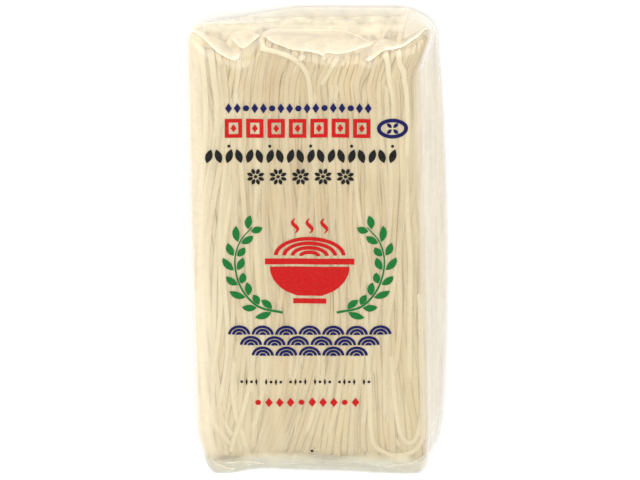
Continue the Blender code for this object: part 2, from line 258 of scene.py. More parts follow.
class NoodleSettings(bpy.types.PropertyGroup):
    """The noodles of the bundle."""

    width: FloatProperty(
        name="Width", description="Width of one flat noodle", default=0.0034, unit="LENGTH"
    )
    thickness: FloatProperty(
        name="Thickness", description="Thickness of one flat noodle", default=0.0006, unit="LENGTH"
    )
    spacing: FloatProperty(
        name="Spacing", description="Distance between neighbours in a layer", default=0.0030, unit="LENGTH"
    )
    layers: IntProperty(name="Layers", description="Layers of noodles under the film", default=4, min=1)
    loose: IntProperty(name="Loose noodles", description="Noodles across the others in front", default=32)
    curls: IntProperty(name="Curls", description="Bends behind the film of the top end", default=36)
    light: colour_setting("Light", "Palest noodles", "F4E9CB")
    deep: colour_setting("Deep", "Deepest coloured noodles", "CDAF7F")
    # The inner colour is painted light: the deeper noodles and the core are brightened for the light that
    # passes through the noodles above
    inner: colour_setting("Inner", "Noodles lit through others", "FBEABA")


class FilmSettings(bpy.types.PropertyGroup):
    """The clear film of the bag."""

    veil: colour_setting("Veil", "Colour of hazy film", "E2D3AB")
    # The cool veil is partly painted shade: the grey of empty film over the shaded inside of the bag
    cool: colour_setting("Cool veil", "Colour of empty film", "C9C5B0")
    # The pale veil is partly painted highlight: glare on the folds, the turned sides and the corners,
    # besides the milkiness of doubled film
    pale: colour_setting("Pale veil", "Colour of folded film", "FCF0D6")


class PrintSettings(bpy.types.PropertyGroup):
    """The inks of the print."""

    navy: colour_setting("Navy", "Navy ink", "080A48")
    red: colour_setting("Red", "Red ink", "AE0D0A")
    green: colour_setting("Green", "Green ink", "0C6428")
    black: colour_setting("Black", "Black ink", "0E0D0D")


def ease(low, high, value):
    """0 up to low, 1 from high on and a smooth rise between; high may be the smaller of the two."""
    share = np.clip((value - low) / (high - low), 0.0, 1.0)
    return share * share * (3.0 - 2.0 * share)


def through_three(values, share):
    """The parabola through three evenly spaced values."""
    low, middle, high = values
    bend = 2.0 * (low + high - 2.0 * middle)
    return low + (4.0 * middle - 3.0 * low - high) * share + bend * share * share


def along_points(places, values, place):
    """A line through a few points that is smooth at each of them."""
    result = np.full(np.shape(place), values[0], float)
    for left, right, start, end in zip(places, places[1:], values, values[1:]):
        result = result + (end - start) * ease(left, right, place)
    return result


def along_share(y):
    """0 at the bottom end and 1 at the top end."""
    return (y - FOOT) / (HEAD - FOOT)


def over_skirt(along):
    """1 at the bottom end and 0 where the empty film has reached the noodles."""
    return 1.0 - ease(0.0, SKIRT_CORNER_END, along)


def left_edge(along):
    """Where the left side is, which stands upright."""
    return through_three(LEFT_EDGE, along) + SKIRT_TAPER_LEFT * over_skirt(along)


def right_edge(along, height_share):
    """Where the right side is, which leans out from the front face to the back."""
    back = through_three(RIGHT_EDGE_BACK, along)
    front = through_three(RIGHT_EDGE_FRONT, along) + TOP_CORNER_FLARE * ease(0.90, 1.0, along)
    return back + (front - back) * height_share - SKIRT_TAPER_RIGHT * over_skirt(along)


def top_end_inset(x, height_share):
    """How far the folded top end lies below its furthest line."""
    crease = along_points(CREASE_ACROSS, CREASE_DEPTH, x) * ease(CREASE_HEIGHT_SHARE, 1.0, height_share)
    left_run, left_drop = BACK_CORNER_LEFT
    right_run, right_drop = BACK_CORNER_RIGHT
    left = left_drop * np.maximum(LEFT_EDGE[2] + left_run - x, 0.0) / left_run
    right = right_drop * np.maximum(x - RIGHT_EDGE_BACK[2] + right_run, 0.0) / right_run
    return crease + (left + right) * (1.0 - ease(0.0, 0.75, height_share))


def bottom_end_inset(x):
    """The two corners of the film skirt are folded in, and its end is a little wavy."""
    left = ease(0.0, SKIRT_CORNER_ACROSS, LEFT_EDGE[0] + SKIRT_CORNER_ACROSS - x)
    right = ease(0.0, SKIRT_CORNER_ACROSS, x - RIGHT_EDGE_BACK[0] + SKIRT_CORNER_ACROSS)
    wave = along_points(SKIRT_END_ACROSS, SKIRT_END_INSET, x)
    return SKIRT_CORNER_DEPTH * np.maximum(left, right) + wave


def front_drop(along):
    """The front face sinks over the empty film at the bottom end."""
    skirt_share = 2.0 * SKIRT_LENGTH / (HEAD - FOOT)
    return SKIRT_DROP * (1.0 - ease(0.0, skirt_share, along))


def front_ripple(x, y):
    """Low swells of the front face over the noodles, longer along the pack than across it."""
    swell = 0.00028 * np.sin(x / 0.0071 + 0.9 * np.sin(y / 0.031)) * np.cos(y / 0.047 + 1.3)
    swell += 0.00020 * np.sin(x / 0.0113 - y / 0.039 + 0.7)
    swell += 0.00012 * np.sin(x / 0.0037 + y / 0.055 + 2.1)
    return swell


def pack_point(across, length, height):
    """Move points of the plain brick to their places on the pack."""
    along = along_share(length)
    height_share = height / THICKNESS
    left = left_edge(along)
    x = left + (right_edge(along, height_share) - left) * (across / WIDTH + 0.5)
    y = length - top_end_inset(x, height_share) * ease(TOP_END_SHARE, 1.0, along)
    y = y + bottom_end_inset(x) * over_skirt(along)
    z = height - front_drop(along) * height_share
    z = z + front_ripple(x, y) * ease(0.75, 1.0, height_share)
    z = UNDERLAY + z * (1.0 - UNDERLAY / THICKNESS)
    return np.stack([x, y, z], axis=-1)


def edge_fall(inset):
    """How far a rounded edge has sunk at a distance in from the edge."""
    inset = np.clip(inset, 0.0, EDGE_RADIUS)
    return EDGE_RADIUS - np.sqrt(EDGE_RADIUS**2 - (EDGE_RADIUS - inset) ** 2)


def front_brick(x, y, depth):
    """The brick place of a point seen on the front face at (x, y), that deep under the film."""
    x, y = np.asarray(x, float), np.asarray(y, float)
    length = y.copy()
    # The insets depend on the length that is looked for, so it is closed in on in a few rounds
    for _ in range(12):
        along = along_share(length)
        length = y + top_end_inset(x, 1.0) * ease(TOP_END_SHARE, 1.0, along)
        length = length - bottom_end_inset(x) * over_skirt(along)
    along = along_share(length)
    left = left_edge(along)
    across = ((x - left) / (right_edge(along, 1.0) - left) - 0.5) * WIDTH
    across = np.clip(across, EDGE_MARGIN - WIDTH / 2.0, WIDTH / 2.0 - EDGE_MARGIN)
    fall = edge_fall(WIDTH / 2.0 - np.abs(across)) + edge_fall(length - FOOT)
    height = THICKNESS - depth - fall
    return np.stack([across, length, height], axis=-1)


def over_end(across, reach, proud, foot=False):
    """Brick places where the film turns from the front face over the top end, or over the foot.

    reach is the way past the start of the turn, and is negative on the front face.
    """
    across, reach = np.broadcast_arrays(across, reach)
    arc = EDGE_RADIUS * math.pi / 2.0
    turn = np.clip(reach / EDGE_RADIUS, 0.0, math.pi / 2.0)
    radius = EDGE_RADIUS + proud - edge_fall(WIDTH / 2.0 - np.abs(across))
    height = THICKNESS - EDGE_RADIUS + radius * np.cos(turn) - np.maximum(reach - arc, 0.0)
    inset = EDGE_RADIUS - radius * np.sin(turn) - np.minimum(reach, 0.0)
    inset = inset + edge_fall(np.maximum(height, 0.0)) * (reach > arc)
    length = FOOT + inset if foot else HEAD - inset
    return np.stack([across, length, height], axis=-1)


def mesh_from(name, points, faces, smooth=True):
    """An object from an array of points and a list of face arrays, each with its own corner count."""
    mesh = bpy.data.meshes.new(name)
    corners = np.concatenate([group.reshape(-1) for group in faces])
    totals = np.concatenate([np.full(len(group), group.shape[1]) for group in faces])
    mesh.vertices.add(len(points))
    mesh.vertices.foreach_set("co", np.asarray(points, np.float32).reshape(-1))
    mesh.loops.add(len(corners))
    mesh.loops.foreach_set("vertex_index", corners.astype(np.int32))
    mesh.polygons.add(len(totals))
    starts = np.concatenate([[0], np.cumsum(totals)[:-1]])
    mesh.polygons.foreach_set("loop_start", starts.astype(np.int32))
    mesh.update(calc_edges=True)
    mesh.validate()
    mesh.polygons.foreach_set("use_smooth", np.full(len(mesh.polygons), smooth))
    piece = bpy.data.objects.new(name, mesh)
    bpy.context.scene.collection.objects.link(piece)
    return piece


def add_attribute(piece, name, values):
    """One number for each point of a mesh, which its material reads."""
    layer = piece.data.attributes.new(name, "FLOAT", "POINT")
    layer.data.foreach_set("value", np.asarray(values, np.float32))


def place_piece(piece, material):
    """A finished piece: it rides on the pack's one body and stands for the plain solid."""
    piece.data.materials.append(material)
    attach(piece, BODY)
    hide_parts(NODE)


class Strand:
    """One noodle: its middle line and outward directions on the brick, its twist and its tone."""

    def __init__(self, places, normals, twist, width, tone):
        """Keep what describes the noodle."""
        self.places = places
        self.normals = normals
        self.twist = twist
        self.width = width
        self.tone = tone


def unit(vectors):
    """Vectors brought to length 1."""
    return vectors / np.maximum(np.linalg.norm(vectors, axis=-1, keepdims=True), 1e-9)


def noodle_piece(name, strands, thickness, inner=0.0):
    """Sweep the section of a noodle along every strand and join them in one mesh.

    inner is how far their colour is brightened towards the inner colour: painted light, for the light
    that has come through other noodles.
    """
    points, tones, sides, caps = [], [], [], []
    start = 0
    ring = len(SECTION)
    for strand in strands:
        ahead = unit(np.gradient(strand.places, axis=0))
        side = unit(np.cross(ahead, strand.normals))
        up = unit(np.cross(side, ahead))
        turn = strand.twist[:, None]
        rolled = side * np.cos(turn) + up * np.sin(turn)
        raised = up * np.cos(turn) - side * np.sin(turn)
        across = SECTION[None, :, 0, None] * (rolled * strand.width)[:, None, :]
        upward = SECTION[None, :, 1, None] * (raised * thickness)[:, None, :]
        places = (strand.places[:, None, :] + across + upward).reshape(-1, 3)
        points.append(pack_point(places[:, 0], places[:, 1], places[:, 2]))
        count = len(strand.places)
        tones.append(np.repeat(strand.tone + middle_shade(*strand.places[:, :2].T), ring))
        index = start + np.arange(count * ring).reshape(count, ring)
        near, far = index[:-1], index[1:]
        quads = np.stack([near, np.roll(near, -1, 1), np.roll(far, -1, 1), far], axis=-1)
        sides.append(quads.reshape(-1, 4)[:, ::-1])
        caps.append(np.stack([index[0], index[-1][::-1]]))
        start += count * ring
    piece = mesh_from(name, np.concatenate(points), [np.concatenate(sides), np.concatenate(caps)])
    add_attribute(piece, "tone", np.concatenate(tones))
    add_attribute(piece, "inner", np.full(len(piece.data.vertices), inner))
    ends = np.empty(len(piece.data.edges) * 2, np.int32)
    piece.data.edges.foreach_get("vertices", ends)
    ends = ends.reshape(-1, 2)
    lengthwise_edge = np.abs(ends[:, 0] - ends[:, 1]) == ring
    sharp = lengthwise_edge & np.isin(ends[:, 0] % ring, SHARP_CORNERS)
    crease = piece.data.attributes.new("sharp_edge", "BOOLEAN", "EDGE")
    crease.data.foreach_set("value", sharp)
    return piece


def middle_shade(across, length):
    """Painted shade makes the noodles deepest in colour in the middle of the pack, and painted light makes
    them palest at its left edge.
    """
    (middle_across, middle_length), (wide, long) = PAINTED_SHADE_PLACE, PAINTED_SHADE_SPREAD
    aside = (across - middle_across) ** 2 / (2.0 * wide**2)
    away = (length - middle_length) ** 2 / (2.0 * long**2)
    return 0.75 * np.exp(-aside - away) - 0.45 * ease(*PAINTED_LIGHT_LEFT, across)


def girth(depth):
    """The pack's rounded outline across its length, at a depth: distance round, place and outward."""
    half = WIDTH / 2.0 - depth
    radius = max(EDGE_RADIUS - depth, 0.0012)
    low, high = depth, THICKNESS - depth
    turns = np.linspace(0.0, math.pi / 2.0, 9)
    places, outward = [(0.0, high)], [(0.0, 1.0)]
    corners = [(half - radius, high - radius, 1.0), (half - radius, low + radius, 0.0)]
    corners += [(radius - half, low + radius, -1.0), (radius - half, high - radius, -2.0)]
    for across, height, quarter in corners:
        for turn in turns:
            angle = quarter * math.pi / 2.0 - turn
            direction = (math.cos(angle), math.sin(angle))
            outward.append(direction)
            places.append((across + radius * direction[0], height + radius * direction[1]))
    places.append((0.0, high))
    outward.append((0.0, 1.0))
    places, outward = np.array(places), np.array(outward)
    steps = np.linalg.norm(np.diff(places, axis=0), axis=1)
    return np.concatenate([[0.0], np.cumsum(steps)]), places, outward


def around(outline, distance):
    """Place and outward direction at a distance round the outline, from the middle of the front."""
    reach, places, outward = outline
    distance = np.mod(distance, reach[-1])
    place = np.stack([np.interp(distance, reach, places[:, axis]) for axis in (0, 1)], axis=-1)
    out = np.stack([np.interp(distance, reach, outward[:, axis]) for axis in (0, 1)], axis=-1)
    return place, unit(out)


def lengthwise(top, foot, bend, tuck, step):
    """A noodle's run from inside the top end, over the edge, down the pack and in at the bottom.

    Each row is (length, how far in, direction along, direction out).
    """
    turns = np.linspace(0.0, math.pi / 2.0, 7)
    rows = [(top, inward, 1.0, 0.0) for inward in np.arange(tuck, bend, -step)]
    for turn in turns:
        swing = (math.cos(turn), math.sin(turn))
        rows.append((top - bend + bend * swing[0], bend - bend * swing[1], swing[0], swing[1]))
    count = max(int((top - foot - 2.0 * bend) / step), 2)
    for length in np.linspace(top - bend, foot + bend, count)[1:-1]:
        rows.append((length, 0.0, 0.0, 1.0))
    for turn in turns:
        swing = (math.sin(turn), math.cos(turn))
        rows.append((foot + bend - bend * swing[0], bend - bend * swing[1], -swing[0], swing[1]))
    rows += [(foot, inward, -1.0, 0.0) for inward in np.arange(bend + step, tuck, step)]
    return np.array(rows)


class Waves:
    """A smooth random field: a few waves over two distances."""

    def __init__(self, draw, count, height, long_range, cross_range):
        """Draw the waves: their height, lengths and starts."""
        self.height = height / math.sqrt(count)
        self.long = 2.0 * math.pi / draw.uniform(*long_range, count)
        self.cross = 2.0 * math.pi / draw.uniform(*cross_range, count) * draw.choice([-1.0, 1.0], count)
        self.phase = draw.uniform(0.0, 2.0 * math.pi, count)

    def at(self, run, cross):
        """The field's value at distances along and across."""
        total = np.zeros(np.shape(run))
        for long, wide, phase in zip(self.long, self.cross, self.phase):
            total = total + np.sin(long * run + wide * cross + phase)
        return total * self.height


def front_lean(round_distance, length):
    """Lower down the front, the noodles lean to the left."""
    middle = np.exp(-((round_distance - LEAN_MIDDLE) ** 2) / (2.0 * LEAN_SPREAD**2))
    return -LEAN_SHIFT * middle * np.clip(-length / LEAN_LENGTH, 0.0, 1.0) ** 3


def front_share(height):
    """0 on the lower part of the pack's ends and 1 next to its front face."""
    return ease(0.35, 0.85, height / THICKNESS)


def layer_strands(draw, settings, depth, left_out, tones):
    """One layer of noodles right round the bundle, each turned in at both ends."""
    outline = girth(depth)
    whole = outline[0][-1]
    count = int(whole / settings.spacing)
    field = Waves(draw, 5, SHARED_DRIFT, SHARED_RANGE, NEIGHBOUR_RANGE)
    strands = []
    for number in range(count):
        start = whole * ((number + draw.uniform(-0.12, 0.12)) / count - 0.5)
        own = Waves(draw, 3, OWN_DRIFT, OWN_RANGE, FAR_APART)
        roll = Waves(draw, 2, ROLL, ROLL_RANGE, FAR_APART)
        head_gap, foot_gap = draw.uniform(*END_GAP, 2)
        bend = draw.uniform(*END_BEND)
        width = settings.width * draw.uniform(*WIDTH_SHARE)
        every_other = number % 2
        sunk = 0.0002 * every_other + draw.uniform(-0.0001, 0.0001)
        # Every other noodle lies a little deeper and is drawn a little darker, as painted shade
        tone = draw.uniform(*tones) + 0.10 * every_other
        if draw.uniform() < left_out:
            continue
        place, out = around(outline, np.array([start]))
        on_front_or_back = abs(out[0, 1]) > 0.7
        tuck = THICKNESS * draw.uniform(*TUCK_SHARE) if on_front_or_back else draw.uniform(*SIDE_TUCK)
        top = HEAD - END_CLEARANCE - depth - head_gap * 0.5
        near_front = float(front_share(place[0, 1]))
        foot = FOOT + END_CLEARANCE + FRONT_FOOT_GAP * near_front + depth
        foot += foot_gap * (0.4 + 0.6 * near_front)
        rows = lengthwise(top, foot, bend, tuck, STRAND_STEP)
        length, inward = rows[:, 0], rows[:, 1]
        run = np.concatenate([[0.0], np.cumsum(np.hypot(np.diff(length), np.diff(inward)))])
        shift = field.at(run, start) + own.at(run, 0.0) + front_lean(start, length)
        place, out = around(outline, start + shift)
        inward = inward + sunk
        places = np.stack(
            [place[:, 0] - out[:, 0] * inward, length, place[:, 1] - out[:, 1] * inward], axis=-1
        )
        normals = np.stack([out[:, 0] * rows[:, 3], rows[:, 2], out[:, 1] * rows[:, 3]], axis=-1)
        strands.append(Strand(places, unit(normals), roll.at(run, 0.0), width, tone))
    return strands


def smooth_path(corners, step):
    """A smooth line through a few chosen points, with a point every step."""
    corners = np.array(corners, float)
    padded = np.vstack([2 * corners[0] - corners[1], corners, 2 * corners[-1] - corners[-2]])
    line = []
    for index in range(1, len(padded) - 2):
        before, start, end, after = padded[index - 1 : index + 3]
        count = max(int(np.linalg.norm(end - start) / step), 2)
        share = np.linspace(0.0, 1.0, count, endpoint=False)[:, None]
        line.append(
            0.5
            * (
                2.0 * start
                + (end - before) * share
                + (2.0 * before - 5.0 * start + 4.0 * end - after) * share**2
                + (3.0 * start - before - 3.0 * end + after) * share**3
            )
        )
    line.append(corners[-1:])
    return np.concatenate(line)


def front_strand(plan, depth, twist, width, tone):
    """A noodle that follows (x, y) places on the front face, that deep under the film."""
    places = front_brick(plan[:, 0], plan[:, 1], depth)
    inset = WIDTH / 2.0 - np.abs(places[:, 0])
    lean = np.clip((EDGE_RADIUS - inset) / EDGE_RADIUS, 0.0, 1.0) * np.sign(places[:, 0])
    normals = np.stack([lean, np.zeros(len(plan)), np.sqrt(1.0 - lean**2)], axis=-1)
    return Strand(places, normals, np.full(len(plan), twist), width, tone)


def end_strand(corners, depth, twist, width, tone):
    """A noodle against the film of the top end, through (across, reach) places in millimetres."""
    plan = smooth_path(corners, 1.4) * 0.001
    places = over_end(plan[:, 0], plan[:, 1], -depth)
    turn = np.clip(plan[:, 1] / EDGE_RADIUS, 0.0, math.pi / 2.0)
    normals = np.stack([np.zeros(len(turn)), np.sin(turn), np.cos(turn)], axis=-1)
    return Strand(places, normals, np.full(len(plan), twist), width, tone)


# Single noodles near the top end, as (across, reach over the end) points in millimetres
END_NOODLES = [
    [(-26.0, 7.9), (-25.6, 3.5), (-24.4, 0.7), (-20.8, 0.1), (-15.6, 0.9), (-10.0, 1.2), (-3.6, -2.4),
     (1.6, -8.4), (4.2, -15.9), (4.8, -27.0), (4.2, -42.0)],
    [(11.2, -14.9), (12.4, -8.0), (14.0, 1.5), (16.0, 6.3)],
    [(-10.0, -15.4), (-7.2, -8.9), (-4.8, -0.5), (-2.4, 3.6)],
    [(49.2, 4.0), (52.6, -3.8), (57.8, -9.9), (60.6, -19.8), (61.0, -38.0), (60.0, -60.0)],
    [(42.0, 3.0), (47.0, -6.0), (51.0, -16.0), (53.0, -30.0), (52.0, -50.0)],
]
END_CURLS = [
    [(23.6, 7.3), (24.0, 9.9), (26.4, 13.3), (30.8, 15.7), (35.2, 15.5), (38.0, 12.8), (38.8, 9.8)],
    [(16.4, 15.8), (18.4, 13.3), (20.0, 9.6), (20.8, 6.1), (21.6, 3.2)],
    [(7.6, 3.3), (10.0, 7.3), (12.0, 10.0), (15.2, 11.9), (18.0, 10.6), (19.6, 7.5)],
    [(34.4, 8.6), (37.2, 9.8), (40.0, 12.6), (42.8, 19.1), (44.4, 29.8)],
    [(-26.4, 7.2), (-24.8, 9.5), (-21.2, 13.3), (-13.6, 15.3), (-5.6, 15.5), (4.4, 15.3), (11.2, 14.6)],
    [(25.2, 6.3), (28.4, 9.1), (32.0, 11.6), (36.4, 11.2), (41.6, 8.5)],
    [(-4.8, 4.8), (0.0, 8.9), (5.2, 11.7), (10.0, 12.9)],
    [(-12.8, 5.7), (-9.6, 9.8), (-5.2, 12.1), (0.8, 12.5)],
    [(0.4, 6.5), (2.4, 10.1), (6.4, 12.3), (10.0, 11.0), (11.2, 8.2)],
    [(48.8, 5.1), (49.2, 9.8), (49.6, 15.8), (48.4, 28.1)],
    [(-44.8, 9.9), (-42.4, 13.5), (-39.2, 15.2), (-36.4, 13.2), (-35.2, 9.9)],
]

# Single noodles that can be told apart on the front, as (x, y) points in millimetres
OUTER_LOOP = [
    (22.0, -20.0), (24.0, -50.0), (25.2, -78.0), (25.8, -96.0), (28.5, -107.0), (38.0, -113.0),
    (47.5, -110.5), (53.0, -102.0), (54.8, -88.0), (53.5, -60.0), (50.0, -20.0),
]
INNER_LOOP = [
    (36.0, -55.0), (38.2, -80.0), (41.0, -98.0), (45.5, -105.0), (50.0, -100.0), (52.5, -84.0),
    (52.0, -60.0),
]
MIDDLE_LOOP = [
    (33.0, -62.0), (34.6, -84.0), (37.4, -101.0), (44.0, -108.6), (51.0, -103.0), (54.0, -88.0),
    (53.0, -66.0),
]
CORNER_SWEEPS = [
    [(-62.5, -62.0), (-60.5, -78.0), (-55.5, -94.0), (-47.5, -106.0)],
    [(-63.0, -52.0), (-61.0, -72.0), (-53.0, -90.0), (-42.0, -107.5)],
    [(-62.0, -74.0), (-59.5, -88.0), (-54.0, -100.0), (-46.5, -110.0)],
]
LOWER_SLANTS = [
    [(-35.0, -50.0), (-37.5, -70.0), (-41.5, -88.0), (-46.0, -103.0), (-47.5, -111.0)],
    [(-45.5, -58.0), (-46.5, -74.0), (-44.5, -90.0), (-41.0, -101.0), (-39.5, -109.0)],
    [(-17.5, -66.0), (-21.5, -84.0), (-26.0, -99.0), (-30.5, -112.5)],
    [(-9.0, -70.0), (-14.5, -90.0), (-23.5, -106.0), (-30.0, -112.0)],
    [(4.0, -62.0), (1.0, -82.0), (-5.5, -99.0), (-9.5, -111.5)],
    [(16.0, -58.0), (13.0, -80.0), (8.0, -96.0), (3.5, -110.5)],
    [(21.0, -50.0), (19.5, -76.0), (14.0, -97.0), (10.0, -111.0)],
    [(-20.0, -60.0), (-26.0, -84.0), (-33.0, -104.0), (-37.0, -111.0)],
    [(-30.0, -55.0), (-34.5, -80.0), (-41.0, -100.0), (-45.5, -110.0)],
]


def feature_strands(draw, settings):
    """The noodles that stand out one by one: curves, cut ends, sweeps and nested bends."""
    paths = [(OUTER_LOOP, 0.0007), (MIDDLE_LOOP, 0.0016), (INNER_LOOP, 0.0010)]
    paths += [(sweep, 0.0009 + 0.0005 * number) for number, sweep in enumerate(CORNER_SWEEPS)]
    paths += [(slant, 0.0008 + 0.0003 * number) for number, slant in enumerate(LOWER_SLANTS)]
    strands = []
    for corners, depth in paths:
        plan = smooth_path(corners, 2.2) * 0.001 + (0.0, PANEL_MIDDLE)
        width = settings.width * draw.uniform(0.92, 1.0)
        roll = draw.uniform(-0.15, 0.15)
        strands.append(front_strand(plan, depth, roll, width, draw.uniform(-0.5, -0.1)))
    for number, corners in enumerate(END_NOODLES):
        depth = 0.0007 + 0.0003 * (number % 3)
        strands.append(end_strand(corners, depth, 0.1, settings.width * 0.95, draw.uniform(-0.6, -0.3)))
    return strands


def crossing_strands(draw, settings):
    """Loose noodles just under the film, which cross the others at small angles."""
    strands = []
    left, right = LEFT_EDGE[1] + 0.010, RIGHT_EDGE_FRONT[1] - 0.006
    for number in range(settings.loose):
        share = (number + draw.uniform(0.0, 1.0)) / settings.loose
        top = draw.uniform(*LOOSE_TOP)
        foot = draw.uniform(*LOOSE_FOOT)
        slope = draw.uniform(*LOOSE_SLOPE) * draw.choice([-1.0, 1.0])
        own = Waves(draw, 3, LOOSE_DRIFT, LOOSE_RANGE, FAR_APART)
        y = np.linspace(top, foot, int((top - foot) / LOOSE_STEP))
        x = left + (right - left) * share + slope * (y - (top + foot) / 2.0) + own.at(y, 0.0)
        x = np.clip(x + front_lean(x, y), left, right)
        roll = draw.uniform(-0.18, 0.18)
        width = settings.width * draw.uniform(0.88, 1.05)
        plan = np.stack([x, y], axis=-1)
        dive = ease(0.014, 0.0, np.minimum(top - y, y - foot))
        depth = draw.uniform(*LOOSE_DEPTH) + LOOSE_DIVE * dive
        strands.append(front_strand(plan, depth, roll, width, draw.uniform(-0.4, 0.3)))
    return strands


def end_curls(draw, settings):
    """Round bends of noodles against the film of the top end, above the front crease."""
    strands = []
    for number, corners in enumerate(END_CURLS):
        depth = 0.0004 + 0.0003 * (number % 3)
        width = settings.width * draw.uniform(0.80, 1.0)
        roll = draw.uniform(-0.1, 0.1)
        # These curls are drawn lighter, as painted light against the shade of the folds over them
        strands.append(end_strand(corners, depth, roll, width, draw.uniform(-0.4, 0.0)))
    left, right = CURLS_ACROSS
    for number in range(settings.curls):
        across = left + (right - left) * (number + draw.uniform(0.0, 1.0)) / settings.curls
        reach = draw.uniform(*CURLS_REACH)
        radius = draw.uniform(*CURLS_RADIUS)
        first = draw.uniform(-0.6, 0.9)
        angles = np.linspace(first, first + draw.uniform(1.8, 3.2), 8)
        squeeze = draw.uniform(0.5, 0.9)
        corners = np.stack(
            [across + radius * squeeze * np.cos(angles), reach + radius * np.sin(angles)], axis=-1
        )
        depth = draw.uniform(*CURLS_DEPTH)
        roll = draw.uniform(-0.4, 0.4)
        strands.append(end_strand(corners, depth, roll, settings.width, draw.uniform(0.0, 0.4)))
    return strands


def node(tree, kind, place, links=None, **settings):
    """Add a shader node with its settings; links maps its inputs to values or other nodes' outputs."""
    made = tree.nodes.new(kind)
    made.location = place
    for name, value in settings.items():
        setattr(made, name, value)
    for name, value in (links or {}).items():
        socket = made.inputs[name]
        if isinstance(value, bpy.types.NodeSocket):
            tree.links.new(value, socket)
        else:
            socket.default_value = value
    return made


def new_material(name):
    """An empty node material and its output."""
    material = bpy.data.materials.new(name)
    material.use_nodes = True
    tree = material.node_tree
    tree.nodes.clear()
    output = tree.nodes.new("ShaderNodeOutputMaterial")
    output.location = (900, 0)
    return material, tree, output


def stretched_noise(tree, place, repeats, left, level):
    """A noise pattern with its own repeats in a metre across, along and in height."""
    drawn = node(tree, "ShaderNodeMapping", (left, level), {"Vector": place, "Scale": repeats})
    links = {"Vector": drawn.outputs["Vector"], "Scale": 1.0, "Detail": 2.0}
    return node(tree, "ShaderNodeTexNoise", (left + 200, level), links).outputs["Fac"]


def noodle_material(settings):
    """Rice starch, extruded as a sheet, cut in ribbons and air dried.

    It gives the eye a matt to satin cream surface, light from behind that softens the gaps and
    faint drawn streaks along each ribbon.
    """
    material, tree, output = new_material("rice_starch_extruded_dried")
    place = node(tree, "ShaderNodeTexCoord", (-1100, 0)).outputs["Object"]
    # The tone carries painted shade, deeper with each layer and in the middle of the pack, and painted
    # light at the left edge, besides random tone
    tone = node(tree, "ShaderNodeAttribute", (-700, 300), attribute_name="tone").outputs["Fac"]
    streaks = stretched_noise(tree, place, NOODLE_STREAKS, -900, -100)
    cloud = node(
        tree,
        "ShaderNodeTexNoise",
        (-700, -400),
        {"Vector": place, "Scale": NOODLE_CLOUDS, "Detail": 3.0},
    )
    mixed = node(
        tree, "ShaderNodeMath", (-450, 200), {0: tone, 1: cloud.outputs["Fac"]}, operation="ADD"
    )
    shade = node(
        tree,
        "ShaderNodeMath",
        (-250, 200),
        {0: mixed.outputs[0], 1: 0.6},
        operation="MULTIPLY",
        use_clamp=True,
    )
    outer = node(
        tree,
        "ShaderNodeMix",
        (-50, 200),
        {"Factor": shade.outputs[0], "A": (*settings.light, 1.0), "B": (*settings.deep, 1.0)},
        data_type="RGBA",
    )
    # Painted light: deeper layers are brightened towards the inner colour
    inner = node(tree, "ShaderNodeAttribute", (-50, 450), attribute_name="inner").outputs["Fac"]
    colour = node(
        tree,
        "ShaderNodeMix",
        (150, 250),
        {"Factor": inner, "A": outer.outputs["Result"], "B": (*settings.inner, 1.0)},
        data_type="RGBA",
    )
    bump = node(
        tree,
        "ShaderNodeBump",
        (50, -200),
        {"Height": streaks, "Strength": 0.25, "Distance": 0.0002},
    )
    surface = node(
        tree,
        "ShaderNodeBsdfPrincipled",
        (400, 0),
        {
            "Base Color": colour.outputs["Result"],
            "Roughness": 0.55,
            "IOR": 1.5,
            "Specular IOR Level": 0.25,
            "Subsurface Weight": 0.3,
            "Subsurface Radius": (0.0016, 0.0014, 0.0011),
            "Subsurface Scale": 1.0,
            "Normal": bump.outputs["Normal"],
        },
    )
    through = node(
        tree,
        "ShaderNodeBsdfTranslucent",
        (400, -400),
        {"Color": colour.outputs["Result"], "Normal": bump.outputs["Normal"]},
    )
    body = node(
        tree,
        "ShaderNodeMixShader",
        (650, 0),
        {"Fac": 0.3, 1: surface.outputs["BSDF"], 2: through.outputs["BSDF"]},
    )
    tree.links.new(body.outputs[0], output.inputs["Surface"])
    return material


